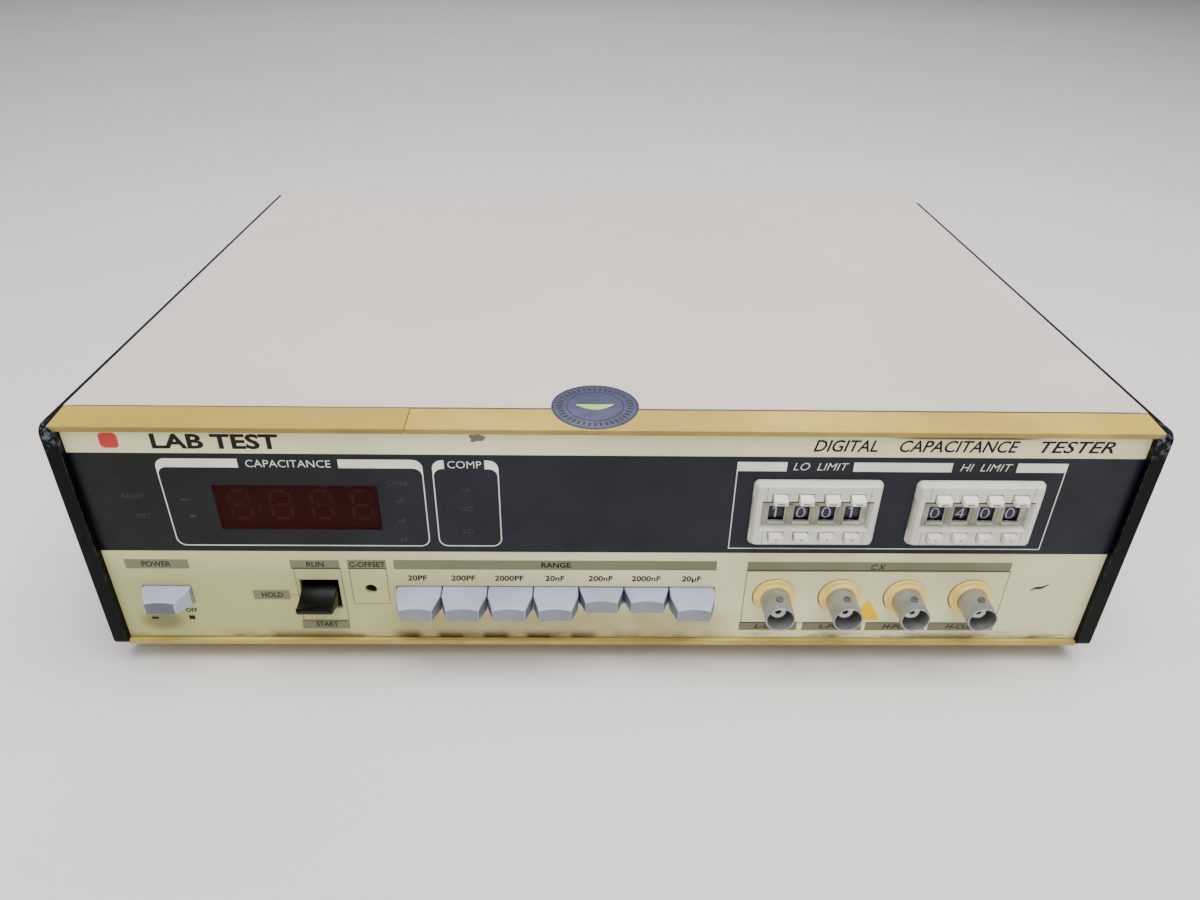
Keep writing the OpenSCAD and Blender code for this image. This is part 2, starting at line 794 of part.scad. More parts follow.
module range_key(i) {
    in = len(search(i, pressed_keys)) > 0 ? key_travel : 0;
    color("lightsteelblue") at_front() translate([key_at(i), in, 0])
        key_cap(key_w, key_reach, key_shoulder, key_inset, plunger_end);
}

// The channel that a plunger slides in.
module plunger_channel(x, gap) {
    slab_y(bank_y - 2, bank_y + switch_d + 2, x, row_z, plunger_w + 2 * gap, plunger_h + 2 * gap);
}

module switch_body(x, w, h) {
    difference() {
        slab_y(bank_y, bank_y + switch_d, x, row_z, w, h);
        plunger_channel(x, slide_fit);
    }
}

// Seven switch bodies between the front plate of the bank and its latch bar.
module range_switch_bank() {
    h = 2 * (row_z - board_top);
    span = keys * key_pitch;
    color("darkseagreen") at_front() {
        for (i = [1:keys]) switch_body(key_at(i), key_w - 1.7, h);
        for (y = [bank_y - 1, bank_y + switch_d]) difference() {
            block([keys_x, y, row_z - h / 2], [keys_x + span, y + 1, row_z + h / 2 + 2]);
            for (i = [1:keys]) plunger_channel(key_at(i), slide_fit);
        }
    }
}

// Mains switch on a bracket behind the panel.
module power_switch() {
    h = 13;
    leg_t = 1.2;
    leg_x = (power_w + leg_t) / 2 + 3 * slide_fit;
    color("darkslategray") at_front() {
        switch_body(power_x, power_w - 1.4, h);
        for (s = [-1, 1])
            slab_y(back_y, bank_y + leg_t / 2, power_x + s * leg_x, row_z, leg_t, h);
        difference() {
            slab_y(bank_y - leg_t / 2, bank_y, power_x, row_z, 2 * leg_x + leg_t, h);
            plunger_channel(power_x, 1);
        }
    }
}

// Body of the lever switch, open at the front, with the pin that the lever turns on.
module lever_switch() {
    inside_w = lever_w + 0.8;
    inside_h = lever_slot_h + 2.4;
    outside_w = inside_w + 2 * lever_body_t;
    y1 = lever_y + 16;
    color("darkslategray") at_front() {
        difference() {
            slab_y(back_y, y1, lever_x, row_z, outside_w, inside_h + 2 * lever_body_t);
            slab_y(back_y - 1, y1 - lever_body_t, lever_x, row_z, inside_w, inside_h);
            rod_x(lever_x - outside_w, lever_x + outside_w, lever_y, row_z, lever_pin_r + 2 * eps);
        }
        rod_x(lever_x - outside_w / 2, lever_x + outside_w / 2, lever_y, row_z, lever_pin_r);
    }
}

// The lever: a flat paddle, hollowed on top, on a round hub, with a tail that works the contacts.
module run_lever() {
    tip = -lever_reach;
    color("black") at_front() difference() {
        union() {
            along_x(lever_x - lever_w / 2, lever_x + lever_w / 2) polygon([
                [lever_y, row_z + lever_hub_r], [1, row_z + 3.9], [-1, row_z + 3.5], [-2.6, row_z + 2.6],
                [-4.6, row_z + 1.8], [-7, row_z + 1.4], [tip, row_z + 1.7], [tip - 0.3, row_z + 1],
                [tip, row_z - 0.7], [-4, row_z - 2.2], [1, row_z - 3.7], [lever_y, row_z - lever_hub_r]]);
            rod_x(lever_x - lever_w / 2, lever_x + lever_w / 2, lever_y, row_z, lever_hub_r);
            block([lever_x - 2, lever_y, row_z - 1.2], [lever_x + 2, lever_y + 11, row_z + 1.2]);
        }
        rod_x(lever_x - lever_w, lever_x + lever_w, lever_y, row_z, lever_pin_r + run_fit);
    }
}

// Slotted adjusting screw behind its hole in the facia.
module offset_screw() {
    y0 = back_y + 2.5;
    color("goldenrod") at_front() difference() {
        rod_y(y0, board_y0 + 6, offset_x, offset_z, 1.7);
        block([offset_x - 3, y0 - 1, offset_z - 0.3], [offset_x + 3, y0 + 0.8, offset_z + 0.3]);
    }
}

// Outline, in (x, z) about the origin, of the inlet's recess.
module inlet_outline(w, h) {
    c = 4.4;
    polygon([[-w / 2, -h / 2], [w / 2, -h / 2], [w / 2, h / 2 - c], [w / 2 - c, h / 2],
             [-w / 2 + c, h / 2], [-w / 2, h / 2 - c]]);
}

// Mains inlet with its three pins and a fuse drawer below them.
module mains_inlet() {
    face_t = 3;
    recess_z = inlet_z + 4.2;
    recess_y = rear_y + face_t - recess_d;
    drawer_z = inlet_z - 9.5;
    drawer_w = 24;
    drawer_y = rear_y - 12;
    screw_x = inlet_w / 2 - 5;
    pin = [2, 12, 4];
    color("dimgray") at_front() {
        difference() {
            union() {
                rounded_y(rear_y, rear_y + face_t, inlet_x, inlet_z, inlet_w, inlet_h, 3);
                slab_y(rear_y - 22, rear_y + eps, inlet_x, inlet_z, inlet_box_w, inlet_box_h);
            }
            translate([inlet_x, 0, recess_z])
                along_y(recess_y, rear_y + face_t + 1) inlet_outline(recess_w, recess_h);
            slab_y(drawer_y, rear_y + face_t + 1, inlet_x, drawer_z, drawer_w, drawer_h);
            for (s = [-1, 1])
                rod_y(rear_y - 1, rear_y + face_t + 1, inlet_x + s * screw_x, inlet_z, cover_screw_r);
        }
        slab_y(drawer_y, rear_y + face_t + 0.4, inlet_x, drawer_z,
               drawer_w - 2 * fit, drawer_h - 2 * fit);
        for (p = [[-7, 0], [0, 4], [7, 0]])
            slab_y(recess_y, recess_y + pin[1], inlet_x + p[0], recess_z + p[1], pin[0], pin[2]);
    }
}

// Outline, in (x, z) about the origin, of a D-shaped shell.
module d_outline(w, h) {
    polygon([[-w / 2, h / 2], [w / 2, h / 2], [w / 2 - shell_slope, -h / 2], [-w / 2 + shell_slope, -h / 2]]);
}

// Interface socket: flange, shell, insulator with its contact holes, and two jack posts.
module interface_socket() {
    rows = [13, 12];
    hole_pitch = 2.76;
    row_pitch = 2.84;
    hole_r = 0.55;
    post_x = 23.5;
    post_h = 4.5;
    y1 = rear_y + socket_reach;
    color("silver") at_front() translate([socket_x, 0, socket_z]) {
        difference() {
            union() {
                rounded_y(rear_y, rear_y + 1, 0, 0, 53, 12.5, 2);
                along_y(rear_y - 8, y1) d_outline(socket_w, socket_h);
            }
            for (r = [0, 1], i = [0:rows[r] - 1])
                rod_y(y1 - 3, y1 + 1, (i - (rows[r] - 1) / 2) * hole_pitch, (0.5 - r) * row_pitch, hole_r);
        }
        for (s = [-1, 1]) difference() {
            translate([s * post_x, rear_y + 1 + post_h, 0]) rotate([90, 0, 0])
                cylinder(h = post_h, r = 2.7, $fn = 6);
            rod_y(rear_y + 1.5, rear_y + 7, s * post_x, 0, 1.2);
        }
    }
}

module limit_piece(bank, kind, i) {
    at_front() translate([(bank == "low" ? low_x : high_x) + unit_at(i), 0, 0]) {
        if (kind == "wheel") digit_wheel();
        if (kind == "up_button") up_button();
        if (kind == "down_button") down_button();
    }
}

top_cover();
bottom_cover();
top_trim_left();
top_trim_right();
bottom_trim();
left_side_frame();
right_side_frame();
front_panel();
front_facia();
display_filter();
display_module();
rear_panel();
main_board();
board_components();
power_transformer();
bnc_bodies();
bnc_bushings();
bnc_inserts();
low_limit_housing();
high_limit_housing();
range_switch_bank();
power_switch();
lever_switch();
rubber_feet();
mains_inlet();
interface_socket();
power_key();
run_lever();
offset_screw();
for (i = [1:keys])
    range_key(i);
for (bank = ["low", "high"], kind = ["wheel", "up_button", "down_button"], i = [1:units])
    limit_piece(bank, kind, i);
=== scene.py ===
import math

import bmesh
import bpy
import numpy as np
from mathutils import Matrix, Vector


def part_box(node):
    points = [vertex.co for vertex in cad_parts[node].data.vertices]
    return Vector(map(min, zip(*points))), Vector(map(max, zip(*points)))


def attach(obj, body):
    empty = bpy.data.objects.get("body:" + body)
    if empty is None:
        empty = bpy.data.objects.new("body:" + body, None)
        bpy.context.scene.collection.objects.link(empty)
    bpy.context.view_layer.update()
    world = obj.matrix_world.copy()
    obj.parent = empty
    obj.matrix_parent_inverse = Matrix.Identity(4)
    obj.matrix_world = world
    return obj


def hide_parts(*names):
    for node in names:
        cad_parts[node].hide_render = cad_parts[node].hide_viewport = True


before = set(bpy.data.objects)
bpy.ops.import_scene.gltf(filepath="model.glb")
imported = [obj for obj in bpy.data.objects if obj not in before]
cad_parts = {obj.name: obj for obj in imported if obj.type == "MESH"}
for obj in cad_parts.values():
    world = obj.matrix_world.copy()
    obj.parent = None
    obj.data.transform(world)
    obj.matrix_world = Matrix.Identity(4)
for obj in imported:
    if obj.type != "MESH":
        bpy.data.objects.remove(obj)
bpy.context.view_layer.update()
print("frame loaded:", len(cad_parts), "nodes")

mm = 0.001
# Every place below is in millimetres from the middle of the facia's lower front edge.
datum = np.array([0.0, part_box("front_facia")[0][1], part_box("front_facia")[0][2]])


def span(node):
    # lowest and highest corner of a CAD node
    low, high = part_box(node)
    return (np.array(low) - datum) / mm, (np.array(high) - datum) / mm


def middle(node):
    low, high = span(node)
    return (low + high) / 2


# places in millimetres from the datum, angles in radians
cameraSet = {"lens": 26.58, "place": (-9.25, -225.96, 215.2), "yaw": 0.024, "pitch": 0.552, "roll": 0.019}


def makeCamera(values):
    # The view line is turned by the yaw, tipped down by the pitch, and the frame is rolled about it.
    yaw, pitch, roll = values["yaw"], values["pitch"], values["roll"]
    ahead = np.array([math.sin(yaw) * math.cos(pitch), math.cos(yaw) * math.cos(pitch), -math.sin(pitch)])
    level = np.array([math.cos(yaw), -math.sin(yaw), 0])
    above = np.cross(level, ahead)
    right = level * math.cos(roll) + above * math.sin(roll)
    up = above * math.cos(roll) - level * math.sin(roll)
    data = bpy.data.cameras.new("camera")
    data.lens = values["lens"]
    data.clip_start = 0.01
    camera = bpy.data.objects.new("camera", data)
    turn = Matrix([(*axis, 0) for axis in (right, up, -ahead)] + [(0, 0, 0, 1)]).transposed()
    place = datum + np.array(values["place"]) * mm
    camera.matrix_world = Matrix.Translation(place) @ turn
    bpy.context.scene.collection.objects.link(camera)
    bpy.context.scene.camera = camera


def makeLamp(name, place, aim, size, power, tint=(1, 1, 1)):
    data = bpy.data.lights.new(name, "AREA")
    data.shape = "RECTANGLE"
    data.size, data.size_y = size
    data.energy = power
    data.color = tint
    lamp = bpy.data.objects.new(name, data)
    away = np.array(place) - np.array(aim)
    away = away / np.linalg.norm(away)
    side = np.cross((0, 0, 1), away)
    side = side / np.linalg.norm(side)
    turn = Matrix([(*axis, 0) for axis in (side, np.cross(away, side), away)] + [(0, 0, 0, 1)]).transposed()
    lamp.matrix_world = Matrix.Translation(place) @ turn
    bpy.context.scene.collection.objects.link(lamp)


makeCamera(cameraSet)
makeLamp("overhead_softbox", (0.12, -0.25, 1.25), (0, 0, 0.05), (1.3, 1.0), 30, (1, 0.985, 0.96))
makeLamp("front_softbox", (0.45, -1.05, 0.95), (0, -0.1, 0.04), (1.0, 0.6), 4.6, (0.97, 0.98, 1))
makeLamp("side_softbox", (-1.0, -0.35, 0.55), (0, 0, 0.05), (0.5, 0.6), 1.5, (0.95, 0.97, 1))
makeLamp("rear_softbox", (0, 1.9, 1.7), (0, 1.4, 0), (2.4, 1.0), 20, (1, 0.99, 0.97))
world = bpy.data.worlds.new("studio")
world.use_nodes = True
world.node_tree.nodes["Background"].inputs["Color"].default_value = (0.80, 0.83, 0.88, 1)
world.node_tree.nodes["Background"].inputs["Strength"].default_value = 0.26
bpy.context.scene.world = world
print("camera and lamps placed")


def ringFaces(rows, columns, closedRows=False):
    # quads between neighbouring rings of a grid whose columns run round each ring
    first = np.arange(rows if closedRows else rows - 1)[:, None]
    after = (first + 1) % rows
    here = np.arange(columns)[None, :]
    beside = (here + 1) % columns
    quads = [first * columns + here, first * columns + beside,
             after * columns + beside, after * columns + here]
    return np.stack(quads, -1).reshape(-1, 4).tolist()


def tube(rings, closedRows=False):
    # A shell through a row of rings, with a flat face over each end unless the row itself is closed.
    rings = np.asarray(rings, float)
    rows, columns = rings.shape[:2]
    faces = ringFaces(rows, columns, closedRows)
    if not closedRows:
        faces.append(list(range(columns)))
        faces.append(list(range((rows - 1) * columns, rows * columns)))
    return rings.reshape(-1, 3), faces


def turned(profile, centre, axis=(0, -1, 0), steps=40, closedRows=False):
    # Round an axis: point(i, angle) = centre + axis * along(i) + radius(i) * (cos angle, sin angle).
    along, radius = np.array(profile, float).T
    axis = np.array(axis, float)
    side = np.cross(axis, (0, 0, 1) if abs(axis[2]) < 0.9 else (1, 0, 0))
    third = np.cross(axis, side)
    angle = np.linspace(0, 2 * math.pi, steps, endpoint=False)
    spokes = np.cos(angle)[:, None] * side + np.sin(angle)[:, None] * third
    rings = np.array(centre) + along[:, None, None] * axis + radius[:, None, None] * spokes
    return tube(rings, closedRows)


def roundedOutline(x0, x1, z0, z1, radius, steps=5):
    # The outline of a rectangle with quarter circles at its corners, counter-clockwise.
    quarter = np.linspace(0, math.pi / 2, steps)
    corners = [(x1 - radius, z0 + radius, -1), (x1 - radius, z1 - radius, 0),
               (x0 + radius, z1 - radius, 1), (x0 + radius, z0 + radius, 2)]
    arcs = [np.stack([x + radius * np.cos(quarter + turn * math.pi / 2),
                      z + radius * np.sin(quarter + turn * math.pi / 2)], -1) for x, z, turn in corners]
    return np.concatenate(arcs)


def standing(outline, y):
    # an (x, z) outline placed in the plane of a given y
    outline = np.asarray(outline, float)
    return np.stack([outline[:, 0], np.full(len(outline), y), outline[:, 1]], -1)


def plate(outline, front, back=0.0):
    # an outline carried along y
    return tube([standing(outline, back), standing(outline, front)])


def bar(x0, x1, z0, z1, front, back=0.0):
    # a rectangle carried along y
    return plate([(x0, z0), (x1, z0), (x1, z1), (x0, z1)], front, back)


def ribbon(outer, inner, front, back=0.0):
    # A band between two open lines: each ring joins one pair of points, back and front.
    sides = ((outer, back), (outer, front), (inner, front), (inner, back))
    return tube(np.stack([standing(outline, y) for outline, y in sides], 1))


def hoop(outer, inner, front, back=0.0):
    # a band between two closed outlines
    sides = ((outer, back), (outer, front), (inner, front), (inner, back))
    return tube([standing(outline, y) for outline, y in sides], closedRows=True)


def lettering(words, x, z, height, out=0.05, slant=0.0, width=None, bold=0.0):
    # Letters of the given capital height; out is how far their face stands from the facia.
    curve = bpy.data.curves.new("letters", "FONT")
    curve.body = words
    curve.size = height / 0.729
    curve.shear = slant
    curve.align_x = "CENTER"
    curve.offset = bold
    curve.resolution_u = 3
    curve.extrude = 0.5
    holder = bpy.data.objects.new("letters", curve)
    mesh = bpy.data.meshes.new_from_object(holder)
    points = np.empty(len(mesh.vertices) * 3)
    mesh.vertices.foreach_get("co", points)
    points = points.reshape(-1, 3)
    faces = [list(face.vertices) for face in mesh.polygons]
    bpy.data.objects.remove(holder)
    bpy.data.curves.remove(curve)
    bpy.data.meshes.remove(mesh)
    if width:
        points[:, 0] *= width / (points[:, 0].max() - points[:, 0].min())
    depth = out * (0.5 + points[:, 2])
    return np.stack([x + points[:, 0], -depth, z + points[:, 1]], -1), faces


def addPiece(name, shells, material, body="case", sharp=35, replaced=()):
    # Joins shells into one mesh, in the frame's metres, and puts it on a body.
    count, points, faces = 0, [], []
    for shellPoints, shellFaces in shells:
        points.append(shellPoints)
        faces += [[index + count for index in face] for face in shellFaces]
        count += len(shellPoints)
    mesh = bpy.data.meshes.new(name)
    mesh.from_pydata(np.concatenate(points) * mm + datum, [], faces)
    work = bmesh.new()
    work.from_mesh(mesh)
    bmesh.ops.remove_doubles(work, verts=work.verts, dist=1e-7)
    bmesh.ops.recalc_face_normals(work, faces=work.faces)
    work.to_mesh(mesh)
    work.free()
    return finishPiece(name, mesh, material, body, sharp, replaced)


def finishPiece(name, mesh, material, body, sharp, replaced):
    mesh.shade_smooth()
    mesh.set_sharp_from_angle(angle=math.radians(sharp))
    mesh.materials.clear()
    mesh.materials.append(material)
    piece = bpy.data.objects.new(name, mesh)
    bpy.context.scene.collection.objects.link(piece)
    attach(piece, body)
    if replaced:
        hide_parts(*replaced)
    return piece


def easedCopy(node, width, material, body="case", segments=2, angle=30):
    # The CAD node's own solid with its loose triangles joined and its edges rounded.
    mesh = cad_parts[node].data.copy()
    work = bmesh.new()
    work.from_mesh(mesh)
    bmesh.ops.remove_doubles(work, verts=work.verts, dist=2e-6)
    bmesh.ops.dissolve_limit(work, angle_limit=math.radians(0.5), verts=work.verts, edges=work.edges)
    work.to_mesh(mesh)
    work.free()
    piece = finishPiece(node + "_eased", mesh, material, body, angle, (node,))
    bevel = piece.modifiers.new("eased edges", "BEVEL")
    bevel.width = width * mm
    bevel.segments = segments
    bevel.limit_method = "ANGLE"
    bevel.angle_limit = math.radians(angle)
    bevel.harden_normals = True
    return piece


def rgb(red, green, blue):
    # a display colour, 0 to 255, as the linear values that a shader takes
    values = np.array([red, green, blue]) / 255
    linear = np.where(values <= 0.04045, values / 12.92, ((values + 0.055) / 1.055) ** 2.4)
    return (*linear.tolist(), 1)


def addNode(tree, kind, links=None, **settings):
    # links gives each input a socket to follow or a value of its own
    made = tree.nodes.new("ShaderNode" + kind)
    for key, value in settings.items():
        setattr(made, key, value)
    for key, value in (links or {}).items():
        if isinstance(value, bpy.types.NodeSocket):
            tree.links.new(value, made.inputs[key])
        else:
            made.inputs[key].default_value = value
    return made


def mathNode(tree, operation, *values):
    return addNode(tree, "Math", dict(enumerate(values)), operation=operation).outputs[0]


def times(tree, product, *others):
    for other in others:
        product = mathNode(tree, "MULTIPLY", product, other)
    return product


def plus(tree, first, second):
    return mathNode(tree, "ADD", first, second)


def minus(tree, first, second):
    return mathNode(tree, "SUBTRACT", first, second)


def rangeNode(tree, value, low, high, start=0.0, end=1.0):
    links = {"Value": value, "From Min": low, "From Max": high, "To Min": start, "To Max": end}
    return addNode(tree, "MapRange", links, interpolation_type="SMOOTHSTEP").outputs[0]


def windowNode(tree, value, low, lowFull, highFull, high):
    # a mask that is full between two values, with a soft edge on each side
    return times(tree, rangeNode(tree, value, low, lowFull), rangeNode(tree, value, high, highFull))


def ovalNode(tree, across, up, centre, size):
    # squared distance from the centre, where 1 is the edge of an oval of those half sizes
    x, z = [mathNode(tree, "DIVIDE", minus(tree, value, middleValue), half)
            for value, middleValue, half in zip((across, up), centre, size)]
    return plus(tree, times(tree, x, x), times(tree, z, z))


def mixColour(tree, factor, first, second):
    # the sockets of a colour mix: 0 is the factor, 6 and 7 are the colours, 2 is the result
    return addNode(tree, "Mix", {0: factor, 6: first, 7: second}, data_type="RGBA").outputs[2]


def noiseNode(tree, vector, scale, detail=4.0, roughness=0.55):
    links = {"Vector": vector, "Scale": scale, "Detail": detail, "Roughness": roughness}
    return addNode(tree, "TexNoise", links).outputs["Fac"]


def vectorNode(tree, operation, first, second, output=0):
    return addNode(tree, "VectorMath", {0: first, 1: second}, operation=operation).outputs[output]


def newGroup(name, inputs, outputs):
    # a group that is given a vector and these inputs, each with its kind and first value
    tree = bpy.data.node_groups.new(name, "ShaderNodeTree")
    tree.interface.new_socket("Vector", in_out="INPUT", socket_type="NodeSocketVector")
    for socketName, (kind, value) in inputs.items():
        socket = tree.interface.new_socket(socketName, in_out="INPUT", socket_type="NodeSocket" + kind)
        if value is not None:
            socket.default_value = value
    for socketName, kind in outputs.items():
        tree.interface.new_socket(socketName, in_out="OUTPUT", socket_type="NodeSocket" + kind)
    return tree, tree.nodes.new("NodeGroupInput").outputs, tree.nodes.new("NodeGroupOutput").inputs


def makeMottle():
    # A colour that wanders between two shades in soft clouds, with finer specks of the second.
    inputs = {"Colour": ("Color", None), "Shade": ("Color", None), "Scale": ("Float", 20.0),
              "Amount": ("Float", 0.5), "Specks": ("Float", 0.1)}
    tree, given, made = newGroup("mottle", inputs, {"Colour": "Color"})
    clouds = rangeNode(tree, noiseNode(tree, given["Vector"], given["Scale"]), 0.35, 0.68)
    fine = noiseNode(tree, given["Vector"], times(tree, given["Scale"], 45.0), 2.0)
    specks = times(tree, rangeNode(tree, fine, 0.66, 0.74), given["Specks"])
    total = plus(tree, times(tree, clouds, given["Amount"]), specks)
    tree.links.new(mixColour(tree, total, given["Colour"], given["Shade"]), made["Colour"])
    return tree


def makeEdgeWear():
    # A mask that is white where the rounded normal leaves the true one, broken up by noise.
    inputs = {"Width": ("Float", 0.0006), "Amount": ("Float", 0.5)}
    tree, given, made = newGroup("edge wear", inputs, {"Mask": "Float"})
    rounded = addNode(tree, "Bevel", {"Radius": given["Width"]}, samples=4).outputs[0]
    normal = addNode(tree, "NewGeometry").outputs["Normal"]
    match = vectorNode(tree, "DOT_PRODUCT", rounded, normal, "Value")
    edge = rangeNode(tree, minus(tree, 1.0, match), 0.02, 0.22)
    broken = rangeNode(tree, noiseNode(tree, given["Vector"], 420.0, 5.0, 0.7), 0.42, 0.62)
    tree.links.new(times(tree, edge, broken, given["Amount"]), made["Mask"])
    return tree


def makeGrain():
    # A fine pebble for moulded and painted faces: two noises of different size added together.
    outputs = {"Height": "Float", "Gloss": "Float"}
    tree, given, made = newGroup("surface grain", {"Scale": ("Float", 2000.0)}, outputs)
    pebble = noiseNode(tree, given["Vector"], given["Scale"], 2.0)
    wave = noiseNode(tree, given["Vector"], times(tree, given["Scale"], 0.12), 3.0)
    clouds = noiseNode(tree, given["Vector"], 60.0, 5.0, 0.65)
    tree.links.new(plus(tree, pebble, times(tree, wave, 0.6)), made["Height"])
    tree.links.new(rangeNode(tree, clouds, 0.3, 0.7), made["Gloss"])
    return tree


def makeScuffs():
    # Thin scratches: a noise stretched along one axis, kept only near its crest.
    inputs = {"Stretch": ("Vector", (900.0, 40.0, 900.0)), "Turn": ("Float", 0.6)}
    tree, given, made = newGroup("fine scuffs", inputs, {"Mask": "Float"})
    turning = {"Vector": given["Vector"], "Angle": given["Turn"]}
    turn = addNode(tree, "VectorRotate", turning, rotation_type="Y_AXIS").outputs[0]
    stretched = vectorNode(tree, "MULTIPLY", turn, given["Stretch"])
    lines = rangeNode(tree, noiseNode(tree, stretched, 1.0, 1.0), 0.70, 0.76)
    patches = rangeNode(tree, noiseNode(tree, given["Vector"], 25.0, 2.0), 0.5, 0.66)
    tree.links.new(times(tree, lines, patches), made["Mask"])
    return tree


mottle, edgeWear, surfaceGrain, fineScuffs = makeMottle(), makeEdgeWear(), makeGrain(), makeScuffs()


def placeGroup(tree, group, **links):
    return addNode(tree, "Group", links, node_tree=group).outputs


def mottled(tree, place, colour, shade, scale, amount, specks):
    values = {"Scale": scale, "Amount": amount, "Specks": specks}
    return placeGroup(tree, mottle, Vector=place, Colour=rgb(*colour), Shade=rgb(*shade), **values)["Colour"]


def wornEdges(tree, place, width, amount):
    return placeGroup(tree, edgeWear, Vector=place, Width=width, Amount=amount)["Mask"]


def startMaterial(name):
    material = bpy.data.materials.new(name)
    material.use_nodes = True
    tree = material.node_tree
    place = addNode(tree, "TexCoord").outputs["Object"]
    return material, tree, tree.nodes["Principled BSDF"], place


def dress(tree, shader, place, tone, grain, rough, relief=None, strength=0.6, cut=None, **sockets):
    # Gives a shader its colour, cloudy roughness and fine relief, and the values that are the same all over.
    surface = placeGroup(tree, surfaceGrain, Vector=place, Scale=grain)
    tree.links.new(tone, shader.inputs["Base Color"])
    tree.links.new(rangeNode(tree, surface["Gloss"], 0.0, 1.0, *rough), shader.inputs["Roughness"])
    if relief:
        height = surface["Height"] if cut is None else minus(tree, surface["Height"], cut)
        bump = addNode(tree, "Bump", {"Height": height, "Distance": relief, "Strength": strength})
        tree.links.new(bump.outputs[0], shader.inputs["Normal"])
    for key, value in sockets.items():
        shader.inputs[key.replace("_", " ")].default_value = value


def finish(name, colour, shade, scale=25.0, amount=0.5, specks=0.1, rough=(0.4, 0.55), grain=2500.0,
           relief=0.00002, wear=0.0, wearColour=(150, 150, 150), wearWidth=0.0006, **sockets):
    # The common finish: mottled colour, worn edges, fine grain in the relief and cloudy roughness.
    material, tree, shader, place = startMaterial(name)
    tone = mottled(tree, place, colour, shade, scale, amount, specks)
    if wear:
        tone = mixColour(tree, wornEdges(tree, place, wearWidth, wear), tone, rgb(*wearColour))
    dress(tree, shader, place, tone, grain, rough, relief, **sockets)
    return material


def heightAbove(tree, place):
    # millimetres across and up from the datum, as two values
    parts = addNode(tree, "SeparateXYZ", {0: place}).outputs
    return times(tree, parts["X"], 1 / mm), times(tree, minus(tree, parts["Z"], float(datum[2])), 1 / mm)


# colours 0 to 255; places in millimetres from the datum, where a soft edge has four: from, full, full, to
# among these colours, the one along the lower edge is soiling and painted shade, and those under the power
# key, under the trim lip and at the left end of the band are painted shade
faciaLook = {"cream": (248, 246, 204), "aged": (176, 175, 108), "belowKeysTone": (190, 170, 110),
             "grimeAndShade": (60, 42, 18), "powerShadow": (92, 84, 48), "lipShadow": (44, 32, 22),
             "chip": (120, 112, 104), "band": (21, 26, 38),
             "bandShade": (11, 13, 18), "bandLeftShade": (4, 5, 8), "bandScuff": (100, 104, 106),
             "bandFrom": 37.2, "bandTo": 74.0, "keyPitch": 15.0, "keyShift": 12.2,
             "keysAcross": (-84.0, -66.0, 28.0, 52.0), "lipShadowAcross": (78.0, 94.0, 121.0, 133.0),
             "chipPlace": (-40.6, 79.9), "chipSize": (2.5, 1.4), "powerShadowShift": (-5.0, 7.6),
             "powerShadowSize": (8.5, 5.2)}


